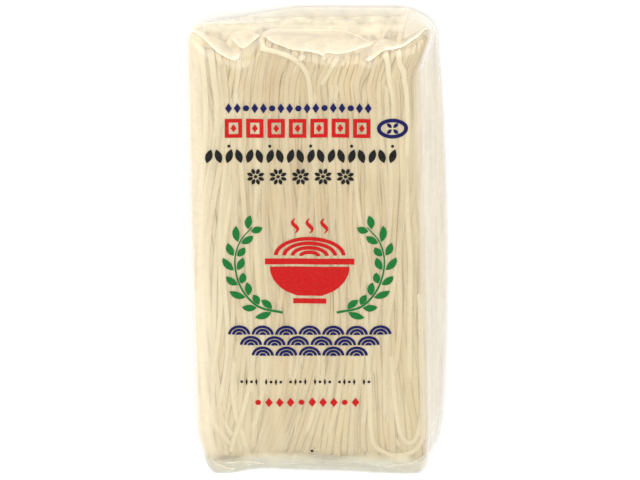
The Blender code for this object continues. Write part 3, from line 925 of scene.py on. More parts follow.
def film_material(settings):
    """Polypropylene film, cast and stretched, 30 micrometres thick.

    It gives the eye a clear sheet with a soft gloss, milky where it is folded, doubled or seen
    along its face.
    """
    material, tree, output = new_material("polypropylene_film_stretched")
    place = node(tree, "ShaderNodeTexCoord", (-1100, 0)).outputs["Object"]
    haze = node(tree, "ShaderNodeAttribute", (-900, 300), attribute_name="haze").outputs["Fac"]
    cool = node(tree, "ShaderNodeAttribute", (-900, 100), attribute_name="cool").outputs["Fac"]
    pale = node(tree, "ShaderNodeAttribute", (-900, 500), attribute_name="pale").outputs["Fac"]
    patches = stretched_noise(tree, place, FILM_PATCHES, -900, -200)
    patchy = node(
        tree,
        "ShaderNodeMapRange",
        (-500, -200),
        {"Value": patches, "From Min": 0.32, "From Max": 0.68, "To Min": 0.72, "To Max": 1.28},
    )
    crinkle = node(
        tree,
        "ShaderNodeTexNoise",
        (-900, -400),
        {"Vector": place, "Scale": FILM_CRINKLES, "Detail": 1.0, "Distortion": 1.2},
    )
    crumpled = node(
        tree,
        "ShaderNodeMapRange",
        (-700, -400),
        {
            "Value": crinkle.outputs["Fac"],
            "From Min": 0.36,
            "From Max": 0.64,
            "To Min": 0.93,
            "To Max": 1.06,
        },
    )
    crumple_share = node(
        tree, "ShaderNodeMath", (-700, 400), {0: pale, 1: cool}, operation="MAXIMUM"
    )
    uneven = node(
        tree,
        "ShaderNodeMix",
        (-500, 300),
        {"Factor": crumple_share.outputs[0], "A": patchy.outputs[0], "B": crumpled.outputs[0]},
    )
    veil = node(
        tree,
        "ShaderNodeMath",
        (-300, 200),
        {0: haze, 1: uneven.outputs["Result"]},
        operation="MULTIPLY",
        use_clamp=True,
    )
    filled = node(
        tree,
        "ShaderNodeMix",
        (-500, 0),
        {"Factor": cool, "A": (*settings.veil, 1.0), "B": (*settings.cool, 1.0)},
        data_type="RGBA",
    )
    colour = node(
        tree,
        "ShaderNodeMix",
        (-300, 0),
        {"Factor": pale, "A": filled.outputs["Result"], "B": (*settings.pale, 1.0)},
        data_type="RGBA",
    )
    wrinkle = node(
        tree,
        "ShaderNodeBump",
        (-300, -400),
        {"Height": patches, "Strength": 0.2, "Distance": 0.0005},
    )
    clear = node(tree, "ShaderNodeBsdfTransparent", (0, 200), {"Color": (1.0, 1.0, 1.0, 1.0)})
    milky = node(
        tree,
        "ShaderNodeBsdfPrincipled",
        (0, 0),
        {
            "Base Color": colour.outputs["Result"],
            "Roughness": 0.30,
            "IOR": FILM_IOR,
            "Normal": wrinkle.outputs["Normal"],
        },
    )
    body = node(
        tree,
        "ShaderNodeMixShader",
        (300, 100),
        {0: veil.outputs[0], 1: clear.outputs[0], 2: milky.outputs[0]},
    )
    gloss = node(
        tree,
        "ShaderNodeBsdfGlossy",
        (300, -150),
        {"Color": (1.0, 1.0, 1.0, 1.0), "Roughness": 0.20, "Normal": wrinkle.outputs["Normal"]},
    )
    inside = node(tree, "ShaderNodeNewGeometry", (-100, 500)).outputs["Backfacing"]
    index = node(
        tree,
        "ShaderNodeMapRange",
        (100, 400),
        {"Value": inside, "To Min": FILM_IOR, "To Max": 1.0 / FILM_IOR},
    )
    mirror = node(
        tree,
        "ShaderNodeFresnel",
        (300, 300),
        {"IOR": index.outputs[0], "Normal": wrinkle.outputs["Normal"]},
    )
    surface = node(
        tree,
        "ShaderNodeMixShader",
        (600, 0),
        {0: mirror.outputs[0], 1: body.outputs[0], 2: gloss.outputs[0]},
    )
    tree.links.new(surface.outputs[0], output.inputs["Surface"])
    return material


def ink_material(name, colour):
    """Ink printed on film by gravure.

    It gives the eye a flat even colour with a soft gloss and small uneven spots.
    """
    material, tree, output = new_material(name)
    place = node(tree, "ShaderNodeTexCoord", (-900, 0)).outputs["Object"]
    spots = node(
        tree, "ShaderNodeTexNoise", (-700, 0), {"Vector": place, "Scale": INK_SPOTS, "Detail": 2.0}
    )
    shade = node(
        tree,
        "ShaderNodeMapRange",
        (-450, 0),
        {
            "Value": spots.outputs["Fac"],
            "From Min": 0.3,
            "From Max": 0.7,
            "To Min": 0.0,
            "To Max": 0.06,
        },
    )
    pale = tuple(value * 0.7 + 0.18 for value in colour)
    mixed = node(
        tree,
        "ShaderNodeMix",
        (-200, 0),
        {"Factor": shade.outputs[0], "A": (*colour, 1.0), "B": (*pale, 1.0)},
        data_type="RGBA",
    )
    surface = node(
        tree,
        "ShaderNodeBsdfPrincipled",
        (200, 0),
        {"Base Color": mixed.outputs["Result"], "Roughness": 0.5, "Specular IOR Level": 0.1},
    )
    tree.links.new(surface.outputs["BSDF"], output.inputs["Surface"])
    return material


def core_material(settings):
    """The inside of the bundle seen through its gaps: long warm streaks of noodles.

    It gives the eye the glow of starch that light has passed through, as painted light in its bright
    colour.
    """
    material, tree, output = new_material("rice_starch_inside_bundle")
    place = node(tree, "ShaderNodeTexCoord", (-900, 0)).outputs["Object"]
    streaks = stretched_noise(tree, place, CORE_STREAKS, -700, 0)
    dark = tuple(value * 0.80 for value in settings.inner)
    colour = node(
        tree,
        "ShaderNodeMix",
        (-200, 0),
        {"Factor": streaks, "A": (*dark, 1.0), "B": (*settings.inner, 1.0)},
        data_type="RGBA",
    )
    surface = node(
        tree,
        "ShaderNodeBsdfPrincipled",
        (200, 0),
        {"Base Color": colour.outputs["Result"], "Roughness": 0.6},
    )
    tree.links.new(surface.outputs["BSDF"], output.inputs["Surface"])
    return material


def board_material():
    """Matt white card, which gives the eye a plain pale floor with the faintest grain."""
    material, tree, output = new_material("matt_white_board")
    place = node(tree, "ShaderNodeTexCoord", (-600, 0)).outputs["Object"]
    grain = node(tree, "ShaderNodeTexNoise", (-400, 0), {"Vector": place, "Scale": BOARD_GRAINS})
    tint = node(
        tree,
        "ShaderNodeMix",
        (-200, 0),
        {"Factor": grain.outputs["Fac"], "A": (0.90, 0.90, 0.90, 1.0), "B": (0.92, 0.92, 0.92, 1.0)},
        data_type="RGBA",
    )
    surface = node(
        tree,
        "ShaderNodeBsdfPrincipled",
        (100, 0),
        {"Base Color": tint.outputs["Result"], "Roughness": 0.9},
    )
    tree.links.new(surface.outputs["BSDF"], output.inputs["Surface"])
    return material


def shared_material(name, make, *values):
    """The material of that name, made on first use."""
    return bpy.data.materials.get(name) or make(*values)


# Angles round a quarter turn of the rounded brick at which its mesh has lines
TURN_ANGLES = (0.0, 0.35, 0.70, 1.05, 1.35)


def grid_lines(low, high, spacing, radius):
    """Positions from low to high, close together where the edge turns."""
    turn = [radius * (1.0 - math.cos(angle)) for angle in TURN_ANGLES]
    first, last = low + radius, high - radius
    count = max(int((last - first) / spacing), 1)
    flat = list(np.linspace(first, last, count + 1))
    return np.array([low + t for t in turn] + flat + [high - t for t in reversed(turn)])


def round_brick(points, lowest, highest, radius):
    """Pull points on a sharp brick onto the brick with rounded edges."""
    inner = np.clip(points, lowest + radius, highest - radius)
    return inner + unit(points - inner) * radius


def brick_shell(depth, spacing):
    """Points on the rounded brick at a depth, and its faces, all facing out."""
    lowest = np.array([depth - WIDTH / 2.0, FOOT + depth, depth])
    highest = np.array([WIDTH / 2.0 - depth, HEAD - depth, THICKNESS - depth])
    radius = max(EDGE_RADIUS - depth, 0.002)
    lines = [grid_lines(low, high, spacing, radius) for low, high in zip(lowest, highest)]
    counts = [len(line) for line in lines]
    numbers, places, quads = {}, [], []

    def corner(key):
        """The number of the point where three lines meet, made on first use."""
        if key not in numbers:
            numbers[key] = len(places)
            places.append([lines[axis][key[axis]] for axis in range(3)])
        return numbers[key]

    for axis in range(3):
        first, second = (axis + 1) % 3, (axis + 2) % 3
        for layer in (0, counts[axis] - 1):
            for i in range(counts[first] - 1):
                for j in range(counts[second] - 1):
                    square = []
                    for di, dj in ((0, 0), (1, 0), (1, 1), (0, 1)):
                        key = [0, 0, 0]
                        key[axis], key[first], key[second] = layer, i + di, j + dj
                        square.append(corner(tuple(key)))
                    quads.append(square if layer else square[::-1])
    points = round_brick(np.array(places), lowest, highest, radius)
    return points, np.array(quads)


def film_haze(points):
    """How milky, how cool and how pale the film is at places on the brick.

    It is milkiest on the right side, the ends and the corners, cool where it is empty and pale
    along the left edge. The milky, pale right side and left edge are partly a painted highlight, the
    light's reflection off the turned film; the cool grey of the empty film is partly painted shade from
    the inside of the bag, and the pale folded top end partly painted light.
    """
    across, length, height = points.T
    share = height / THICKNESS
    right = ease(WIDTH / 2.0 - 0.0050, WIDTH / 2.0 - 0.0005, across)
    left = ease(-WIDTH / 2.0 + 0.0220, -WIDTH / 2.0 + 0.0020, across)
    uneven = 0.0016 * np.sin(across / 0.0110 + 0.6) + 0.0008 * np.sin(across / 0.0047)
    skirt = ease(FOOT + 0.0190, FOOT + 0.0080, length + uneven)
    turned = ease(HEAD - 0.0050, HEAD - 0.0010, length)
    down_left = 0.45 + 0.55 * ease(0.45, 0.80, share)
    down_foot = 0.70 + 0.30 * ease(0.40, 0.65, share)
    lower = ease(THICKNESS - 0.0085, THICKNESS - 0.0130, height)
    over_top = TOP_END_HAZE + (TOP_END_LOW_HAZE - TOP_END_HAZE) * lower
    folded = turned * ease(THICKNESS - 0.0170, THICKNESS - 0.0120, height)
    front = FRONT_HAZE + (FRONT_HEAD_HAZE - FRONT_HAZE) * ease(0.070, 0.100, length)
    sides = [RIGHT_HAZE_AND_SHEEN * right, LEFT_HAZE_AND_SHEEN * left * down_left, SKIRT_HAZE * skirt * down_foot]
    haze = np.maximum.reduce([front, turned * over_top, *sides])
    # Painted shade, partly: the empty film at the foot and a little of the right side are drawn cool grey
    cool = np.maximum(ease(FOOT + 0.0150, FOOT + 0.0080, length), 0.20 * right)
    # Painted highlight, partly: the left edge is drawn pale for the light's reflection off the turned film
    pale_left_sheen = 0.62 * left * (1.0 - skirt) * (1.0 - turned)
    pale = np.maximum.reduce([pale_left_sheen, 0.50 * right, 0.72 * folded])
    return haze, cool, pale


def sheet_solid(face, back, closed=False):
    """Points and faces of a thin closed solid between two grids; a closed one joins its ends."""
    rows, columns = face.shape[:2]
    count = rows * columns
    index = np.arange(count).reshape(rows, columns)
    near, far = (index, np.roll(index, -1, axis=0)) if closed else (index[:-1], index[1:])
    quads = np.stack([near[:, :-1], far[:, :-1], far[:, 1:], near[:, 1:]], axis=-1).reshape(-1, 4)
    sides = [(far[:, 0], near[:, 0]), (near[:, -1], far[:, -1])]
    if not closed:
        sides += [(index[0, :-1], index[0, 1:]), (index[-1, 1:], index[-1, :-1])]
    walls = [np.stack([ahead, rim, rim + count, ahead + count], axis=-1) for ahead, rim in sides]
    points = np.concatenate([face.reshape(-1, 3), back.reshape(-1, 3)])
    return points, np.concatenate([quads, quads[:, ::-1] + count, *walls])


def band(first, second, columns=1, closed=False):
    """A flat shape as a grid of points between two lines with the same number of points."""
    first, second = np.array(first, float), np.array(second, float)
    share = np.linspace(0.0, 1.0, columns + 1)[None, :, None]
    return first[:, None, :] * (1.0 - share) + second[:, None, :] * share, closed


def stroke(line, widths):
    """A flat shape that follows a line, with one width or a width for each of its points."""
    line = np.array(line, float)
    ahead = unit(np.gradient(line, axis=0))
    half = np.broadcast_to(widths, len(line))[:, None] / 2.0
    side = np.stack([-ahead[:, 1], ahead[:, 0]], axis=-1) * half
    return band(line + side, line - side)


def lozenge(x, y, width, height):
    """An upright diamond."""
    return stroke([(x, y - height / 2.0), (x, y), (x, y + height / 2.0)], [0.05, width, 0.05])


def disc(x, y, radius):
    """A round dot."""
    turns = np.linspace(0.05, math.pi - 0.05, 9)
    line = np.stack([np.full(len(turns), x), y - radius * np.cos(turns)], axis=-1)
    return stroke(line, 2.0 * radius * np.sin(turns))


def arc_band(x, y, radius_x, radius_y, width, first=0.0, last=2.0 * math.pi):
    """A ring, or part of one."""
    whole = last - first > 6.28
    count = max(int((last - first) * max(radius_x, radius_y)), 8)
    turns = np.linspace(first, last, count, endpoint=not whole)
    rim = np.stack([np.cos(turns), np.sin(turns)], axis=-1)
    outer = rim * (radius_x, radius_y) + (x, y)
    inner = rim * (radius_x - width, radius_y - width) + (x, y)
    return band(outer, inner, closed=whole)


def frame_shape(x, y, width, height, thick):
    """An upright frame with four sides of one thickness."""
    corners = np.array([(-1, -1), (0, -1), (1, -1), (1, 0), (1, 1), (0, 1), (-1, 1), (-1, 0)], float)
    outer = corners * (width / 2.0, height / 2.0) + (x, y)
    inner = corners * (width / 2.0 - thick, height / 2.0 - thick) + (x, y)
    return band(outer, inner, closed=True)


def leaf(x, y, length, width, angle, curl=0.0):
    """A pointed leaf or grain from its foot at (x, y) in the direction of the angle."""
    share = np.linspace(0.0, 1.0, 7)
    turn = angle + curl * share
    steps = np.stack([np.cos(turn), np.sin(turn)], axis=-1) * (length / 6.0)
    line = np.vstack([[0.0, 0.0], np.cumsum(steps[:-1], axis=0)]) + (x, y)
    return stroke(line, width * np.sin(share * math.pi) ** 0.8 + 0.08)


def rosette(x, y, radius, petals):
    """A dot with petals all round it."""
    shapes = [disc(x, y, radius * 0.20)]
    for number in range(petals):
        angle = 2.0 * math.pi * (number + 0.5) / petals
        foot = (x + 0.30 * radius * math.cos(angle), y + 0.30 * radius * math.sin(angle))
        shapes.append(leaf(*foot, radius * 0.70, radius * 0.40, angle))
    return shapes


def sprig(corners, leaf_length, leaf_width, bend):
    """A bent stalk with pairs of leaves, shorter inside its bend: 1 bends left and -1 right."""
    spine = smooth_path(corners, 1.8)
    shapes = [stroke(spine, np.linspace(1.3, 0.5, len(spine)))]
    ahead = unit(np.gradient(spine, axis=0))
    for number, place in enumerate(range(3, len(spine), 4)):
        angle = math.atan2(ahead[place, 1], ahead[place, 0])
        for side in (-1.0, 1.0):
            foot = spine[place] + 0.9 * side * np.array([-ahead[place, 1], ahead[place, 0]])
            length = leaf_length * (1.0 - 0.15 * (number % 2)) * (0.82 if side * bend > 0.0 else 1.0)
            shapes.append(leaf(*foot, length, leaf_width, angle + side * 0.75, -side * 0.5))
    return shapes


# Rows of the print, in millimetres up from the middle of the printed panel
SMALL_ROW = 82.8
BOLD_ROW = 72.0
DOT_ROW = 62.4
GRAIN_ROW = 53.2
ROSETTE_ROW = 45.7
WAVE_ROW = -42.2
MARK_ROW = -68.8
DIAMOND_ROW = -80.5

# Middle of the emblem, place of the roundel beside the bold row and place of the lone dot
EMBLEM_ACROSS = -6.0
ROUNDEL_ACROSS = 36.1
LONE_DOT = (-4.9, -109.6)

# Angles at which the half rings of the print start and end, just off the level
HALF_RING = (0.06, math.pi - 0.06)


def navy_shapes():
    """A row of small diamonds and dots, a roundel, and scalloped waves at the foot of the emblem."""
    shapes = []
    for number in range(17):
        x = -47.0 + 4.42 * number
        every_third = number % 3 == 2
        shapes.append(disc(x, SMALL_ROW, 1.6) if every_third else lozenge(x, SMALL_ROW, 3.5, 5.4))
    shapes.append(arc_band(ROUNDEL_ACROSS, BOLD_ROW, 7.9, 5.4, 2.0))
    for number in range(4):
        angle = math.pi / 4.0 + number * math.pi / 2.0
        foot = (ROUNDEL_ACROSS + 0.6 * math.cos(angle), BOLD_ROW + 0.6 * math.sin(angle))
        shapes.append(leaf(*foot, 3.4, 1.8, angle))
    for row, count in enumerate((7, 6, 5)):
        for number in range(count):
            x = EMBLEM_ACROSS + 12.2 * (number - (count - 1) / 2.0)
            y = WAVE_ROW - 5.9 * row
            for radius in (5.8, 3.8, 1.8):
                shapes.append(arc_band(x, y, radius, radius * 0.92, 1.45, *HALF_RING))
    return shapes


def level_bar(half, y, thick, count):
    """A level bar across the middle of the emblem."""
    places = np.linspace(EMBLEM_ACROSS - half, EMBLEM_ACROSS + half, count)
    return stroke(np.stack([places, np.full(count, y)], axis=-1), thick)


def bowl_shapes():
    """A bowl with a rim and a foot, a heap of noodles in it and three wisps of steam."""
    share = np.linspace(0.0, 0.95, 8)
    half = 20.5 * np.sqrt(1.0 - share**2)
    levels = -3.9 - 17.0 * share
    left = np.stack([EMBLEM_ACROSS - half, levels], axis=-1)
    right = np.stack([EMBLEM_ACROSS + half, levels], axis=-1)
    shapes = [level_bar(23.0, -1.0, 3.2, 16), band(right, left, columns=12), level_bar(8.5, -23.0, 2.8, 7)]
    for radius in (18.5, 14.2, 9.9, 5.6):
        shapes.append(arc_band(EMBLEM_ACROSS, 1.9, radius, radius * 0.58, 2.0, *HALF_RING))
    rise = np.linspace(0.0, 1.0, 9)
    for aside in (-7.5, 0.0, 7.5):
        sway = EMBLEM_ACROSS + aside + 1.4 * np.sin(rise * 2.0 * math.pi)
        wisp = np.stack([sway, 14.6 + 8.2 * rise], axis=-1)
        shapes.append(stroke(wisp, 1.7 * np.sin(rise * math.pi) + 0.3))
    return shapes


def red_shapes():
    """A bold row of lattice squares, a steaming bowl and a row of diamonds and dots."""
    shapes = []
    for number in range(7):
        x = -44.6 + 10.85 * number
        shapes.append(frame_shape(x, BOLD_ROW, 8.8, 10.2, 2.0))
        shapes.append(lozenge(x, BOLD_ROW, 3.0, 4.4))
    shapes += bowl_shapes()
    for number in range(10):
        x = -33.0 + 5.65 * number
        every_fourth = number % 4 == 0
        shapes.append(disc(x, DIAMOND_ROW, 1.5) if every_fourth else lozenge(x, DIAMOND_ROW, 4.0, 5.2))
    return shapes


def green_shapes():
    """Two stalks of rice round the bowl."""
    left = [(-20.0, -29.5), (-33.0, -26.0), (-41.5, -15.5), (-44.5, -2.0), (-42.0, 9.5), (-35.5, 18.0)]
    right = [(2.0 * EMBLEM_ACROSS - x, y) for x, y in left]
    return sprig(left, 9.0, 3.7, -1.0) + sprig(right, 9.0, 3.7, 1.0)


def black_shapes():
    """A row of slanted grains, five rosettes and a row of small marks."""
    shapes = []
    for number in range(19):
        x = -57.4 + 5.2 * number
        slant = 0.30 if number % 2 else -0.30
        shapes.append(leaf(x + 3.4 * math.sin(slant), GRAIN_ROW, 7.8, 3.6, math.pi / 2.0 + slant))
        if number % 4 == 2:
            shapes.append(disc(x, DOT_ROW, 0.8))
    for number in range(5):
        shapes += rosette(-33.5 + 11.45 * number, ROSETTE_ROW, 4.7, 8)
    for number in range(27):
        x = -41.5 + 2.55 * number
        if number % 5 != 4:
            odd = number % 2
            shapes.append(lozenge(x, MARK_ROW, 1.3, 3.6) if odd else disc(x, MARK_ROW, 0.75))
    shapes.append(disc(*LONE_DOT, 0.8))
    return shapes


def print_piece(name, shapes, material):
    """Flat shapes, in millimetres on the front face, as a thin layer of ink on the film."""
    points, faces, start = [], [], 0
    for grid, closed in shapes:
        x, y = (grid * 0.001 + (0.0, PANEL_MIDDLE)).reshape(-1, 2).T
        layers = []
        for proud in INK_HEIGHTS:
            layer = pack_point(*front_brick(x, y, -proud).T)
            layers.append(layer.reshape(*grid.shape[:2], 3))
        places, quads = sheet_solid(*layers, closed)
        points.append(places)
        faces.append(quads + start)
        start += len(places)
    piece = mesh_from(name, np.concatenate(points), [np.concatenate(faces)], smooth=False)
    place_piece(piece, material)


# Folds of film over the top end: (across, nearer reach, further reach) in millimetres. Their pale,
# milky edges are partly painted highlight
LEFT_FOLD = [
    (-65.5, 13.0, 15.0), (-62.8, 8.9, 12.2), (-58.0, 8.4, 11.2), (-54.4, 6.9, 10.8), (-50.4, 4.4, 10.0),
    (-45.6, 4.2, 9.4), (-40.8, 5.0, 9.0), (-38.6, 6.0, 8.6), (-37.6, 7.4, 7.9),
]
NOTCH_FOLD = [
    (-42.0, 12.0, 12.6), (-40.4, 10.9, 14.6), (-36.4, 9.0, 15.1), (-31.6, 10.1, 14.2), (-26.8, 8.6, 9.2),
]
MIDDLE_FOLD = [
    (-26.4, 8.2, 8.5), (-23.6, 6.4, 11.0), (-20.0, 4.9, 13.6), (-12.0, 5.4, 15.0), (-1.2, 5.6, 15.4),
    (5.2, 5.8, 15.5), (8.0, 5.3, 15.5), (9.6, 7.0, 15.5), (16.8, 6.7, 15.6), (25.2, 6.9, 13.3),
    (31.2, 9.6, 12.0), (35.2, 10.7, 11.1),
]
RIGHT_FOLD = [
    (30.6, 4.6, 4.9), (33.2, 4.7, 8.4), (36.4, 4.9, 9.9), (42.8, 4.0, 8.7), (49.6, 4.9, 7.6),
    (56.0, 7.2, 9.4), (61.0, 8.0, 11.0), (65.0, 15.0, 16.8),
]
END_FLAP = [
    (-36.0, 42.0, 44.0), (-30.0, 35.0, 45.0), (-22.0, 31.0, 45.0), (-5.6, 30.0, 45.0),
    (27.0, 31.0, 45.0), (50.4, 32.5, 44.0),
]
# The folded corner of the top end, drawn pale and milky: partly painted glare off the doubled film
CORNER_FOLD = [
    (50.6, 9.6, 45.0), (54.0, 10.0, 45.0), (58.0, 11.5, 44.0), (62.0, 13.0, 42.0), (65.6, 18.0, 38.0),
]

# Folds of film over the bottom end, in the same way: crinkles of the empty film and the end's flaps.
# The crinkles and streaks are drawn pale, partly as painted glints
FOOT_LEFT_CRINKLE = [
    (-63.0, -6.0, -5.0), (-60.5, -3.5, 0.0), (-57.0, -1.0, 3.0), (-52.0, 1.0, 3.5), (-48.0, 2.0, 2.6),
]
FOOT_LEFT_GLINT_STREAK = [
    (-54.0, -2.5, -2.0), (-48.0, -2.5, 0.0), (-42.0, -2.0, 0.8), (-36.0, -0.5, 1.2), (-30.0, 1.2, 1.6),
]
FOOT_MIDDLE_GLINT_STREAK = [
    (-20.0, 0.5, 1.0), (-5.0, -0.5, 2.2), (15.0, -0.8, 2.6), (35.0, -0.4, 2.4), (46.0, 0.6, 1.4),
]
FOOT_RIGHT_CRINKLE = [
    (44.0, 0.0, 0.6), (50.0, -1.5, 1.5), (57.0, -2.5, 2.0), (62.0, -4.5, 0.0), (65.0, -6.0, -5.0),
]
FOOT_LEFT_TUCK = [
    (-66.0, 12.0, 13.0), (-60.0, 13.0, 24.0), (-52.0, 15.0, 33.0), (-44.0, 22.0, 40.0), (-36.0, 33.0, 45.0),
]
FOOT_RIGHT_TUCK = [(-across, nearer, further) for across, nearer, further in reversed(FOOT_LEFT_TUCK)]
FOOT_FLAP = [
    (-58.0, 36.0, 45.0), (-50.0, 24.0, 45.0), (-44.0, 19.0, 45.0), (0.0, 18.0, 45.0), (44.0, 19.4, 45.0),
    (50.0, 24.0, 45.0), (58.0, 36.0, 45.0),
]

# Each fold: stations, whether at the foot, how milky its nearer side, further side, nearer edge
# and further edge are, how pale and how cool it is and how far it stands out. The milky, pale edges,
# corner and foot streaks are partly painted highlight, and the cool grey partly painted shade
FOLDS = {
    "left_fold": (LEFT_FOLD, False, (0.55, 0.14, 0.92, 0.14), 1.0, 0.0, 0.0005),
    "notch_fold": (NOTCH_FOLD, False, (0.58, 0.24, 0.93, 0.34), 1.0, 0.0, 0.0006),
    "middle_fold": (MIDDLE_FOLD, False, (0.58, 0.26, 0.95, 0.60), 1.0, 0.0, 0.0004),
    "right_fold": (RIGHT_FOLD, False, (0.66, 0.20, 0.94, 0.16), 1.0, 0.0, 0.0007),
    "end_flap": (END_FLAP, False, (0.20, 0.24, 0.30, 0.05), 0.0, 0.0, 0.0001),
    "corner_fold": (CORNER_FOLD, False, (0.70, 0.50, 0.70, 0.20), 0.70, 1.0, 0.0001),
    "foot_left_crinkle": (FOOT_LEFT_CRINKLE, True, (0.40, 0.30, 0.70, 0.45), 0.65, 1.0, 0.0004),
    "foot_left_glint_streak": (FOOT_LEFT_GLINT_STREAK, True, (0.45, 0.35, 0.60, 0.35), 0.60, 1.0, 0.0003),
    "foot_middle_glint_streak": (FOOT_MIDDLE_GLINT_STREAK, True, (0.20, 0.10, 0.35, 0.20), 0.10, 1.0, 0.0002),
    "foot_right_crinkle": (FOOT_RIGHT_CRINKLE, True, (0.40, 0.20, 0.60, 0.40), 0.55, 1.0, 0.0004),
    "foot_left_tuck": (FOOT_LEFT_TUCK, True, (0.30, 0.20, 0.70, 0.60), 0.4, 1.0, 0.0001),
    "foot_right_tuck": (FOOT_RIGHT_TUCK, True, (0.30, 0.20, 0.70, 0.60), 0.4, 1.0, 0.0001),
    "foot_flap": (FOOT_FLAP, True, (0.40, 0.30, 0.85, 0.10), 0.4, 1.0, 0.0003),
}

# Doubled film under the pack, as (length, left, right) in millimetres: the lengthwise seam and the
# two folded ends
UNDER_SHEETS = {
    "back_seam": [
        (-118.0, -7.0, 6.0), (-60.0, -6.4, 6.8), (0.0, -7.4, 5.6), (60.0, -6.6, 6.6), (117.0, -7.0, 6.0),
    ],
    "head_underlap": [(96.0, -40.0, 38.0), (106.0, -50.0, 45.0), (117.0, -62.0, 55.0)],
    "foot_underlap": [(-118.0, -60.0, 60.0), (-106.0, -50.0, 50.0), (-98.0, -42.0, 42.0)],
}

# Shares of a fold from its nearer to its further edge, close together at both
HALF_SHARES = (0.0, 0.02, 0.05, 0.09, 0.15, 0.25, 0.40)
FOLD_SHARES = np.array([*HALF_SHARES, *(1.0 - share for share in reversed(HALF_SHARES))])


def film_sheet(name, face, back, flipped=False):
    """A thin closed sheet of film between two grids, with crisp rims."""
    points, quads = sheet_solid(face, back)
    piece = mesh_from(name, points, [quads[:, ::-1] if flipped else quads])
    piece.data.set_sharp_from_angle(angle=math.radians(50.0))
    return piece


def one_side(haze):
    """The milkiness of one side of a sheet whose two sides together are that milky."""
    return 1.0 - np.sqrt(1.0 - haze)


def fold_sheet(name, stations, foot, hazes, pale, cool, stand):
    """A fold of film over an end between two edges that are given at a few stations."""
    line = smooth_path(stations, 1.6) * 0.001
    shares = FOLD_SHARES[None, :]
    across = np.repeat(line[:, :1], shares.shape[1], axis=1)
    breadth = line[:, 2:3] - line[:, 1:2]
    reach = line[:, 1:2] + breadth * shares
    swell = stand + 0.0004 * np.sin(shares * math.pi) * np.ones_like(across)
    layers = []
    for proud in (swell, swell - FILM_THICKNESS):
        places = over_end(across, reach, proud, foot)
        layers.append(pack_point(*places.reshape(-1, 3).T).reshape(*across.shape, 3))
    piece = film_sheet(name, *layers, flipped=foot)
    near_side, far_side, near_edge, far_edge = hazes
    # The bright line along each edge is partly a painted highlight of the crease, besides the milkier
    # doubled film
    line_width = EDGE_HIGHLIGHT_LINE * (0.75 + 0.45 * np.sin(line[:, :1] / 0.0043 + 1.0))
    near = ease(line_width, 0.25 * line_width, breadth * shares)
    far = ease(line_width, 0.25 * line_width, breadth * (1.0 - shares))
    haze = near_side + (far_side - near_side) * ease(0.15, 0.85, shares)
    haze = haze + (near_edge - haze) * near
    haze = haze + (far_edge - haze) * far
    along_fold = np.linspace(0.0, 1.0, len(line))[:, None]
    ends = ease(0.0, 0.08, along_fold) * ease(1.0, 0.92, along_fold)
    add_attribute(piece, "haze", np.tile(one_side(haze * ends).reshape(-1), 2))
    add_attribute(piece, "pale", np.full(len(piece.data.vertices), pale))
    add_attribute(piece, "cool", np.full(len(piece.data.vertices), cool))
    return piece


def under_sheet(name, rows):
    """Doubled film under the pack, which it lies on, between two lines."""
    line = smooth_path(rows, 3.0) * 0.001
    shares = np.linspace(0.0, 1.0, 13)[None, :]
    across = line[:, 1:2] + (line[:, 2:3] - line[:, 1:2]) * shares
    length = np.repeat(line[:, :1], shares.shape[1], axis=1)
    just_above_floor = -0.9 * UNDERLAY
    layers = []
    for height in (just_above_floor, just_above_floor + FILM_THICKNESS):
        points = pack_point(across.reshape(-1), length.reshape(-1), np.full(across.size, height))
        layers.append(points.reshape(*across.shape, 3))
    piece = film_sheet(name, *layers)
    edge = np.maximum(ease(0.12, 0.04, shares), ease(0.88, 0.96, shares)) * np.ones_like(across)
    add_attribute(piece, "haze", np.tile(one_side(0.30 + 0.40 * edge).reshape(-1), 2))
    add_attribute(piece, "pale", np.full(len(piece.data.vertices), 0.5))
    return piece


class NOODLEBAG_OT_core(bpy.types.Operator):
    """Make the inside of the bundle, which shows in the gaps between noodles."""

    bl_idname = "noodlebag.core"
    bl_label = "Bundle core"

    def execute(self, context):
        settings = context.scene.noodle_settings
        points, quads = brick_shell(CORE_DEPTH, CORE_SPACING)
        lowest = FOOT + CORE_FOOT_GAP + CORE_FOOT_SLANT * front_share(points[:, 2])
        points[:, 1] = np.clip(points[:, 1], lowest, HEAD - CORE_HEAD_GAP)
        over_foot = ease(FOOT + 0.0260, FOOT + 0.0130, points[:, 1])
        over_head = ease(HEAD - 0.0200, HEAD - 0.0080, points[:, 1])
        sunk = CORE_FOOT_SUNK * over_foot + CORE_HEAD_SUNK * over_head
        points[:, 2] -= sunk * ease(0.40, 0.90, points[:, 2] / THICKNESS)
        piece = mesh_from("bundle_core", pack_point(*points.T), [quads])
        material = shared_material("rice_starch_inside_bundle", core_material, settings)
        place_piece(piece, material)
        return {"FINISHED"}


class NOODLEBAG_OT_layers(bpy.types.Operator):
    """Make the layers of noodles that wrap the bundle, each as one piece."""

    bl_idname = "noodlebag.layers"
    bl_label = "Noodle layers"

    def execute(self, context):
        settings = context.scene.noodle_settings
        material = shared_material("rice_starch_extruded_dried", noodle_material, settings)
        for number in range(settings.layers):
            draw = np.random.default_rng(SEED + number)
            depth = FIRST_DEPTH + LAYER_STEP * number
            kind = min(number, len(LEFT_OUT) - 1)
            tones = (DEPTH_SHADE_STEP * number, DEPTH_SHADE_STEP * number + TONE_SPREAD)
            strands = layer_strands(draw, settings, depth, LEFT_OUT[kind], tones)
            name = f"noodle_layer_{number + 1}"
            piece = noodle_piece(name, strands, settings.thickness, PAINTED_THROUGH_LIGHT[kind])
            place_piece(piece, material)
        return {"FINISHED"}


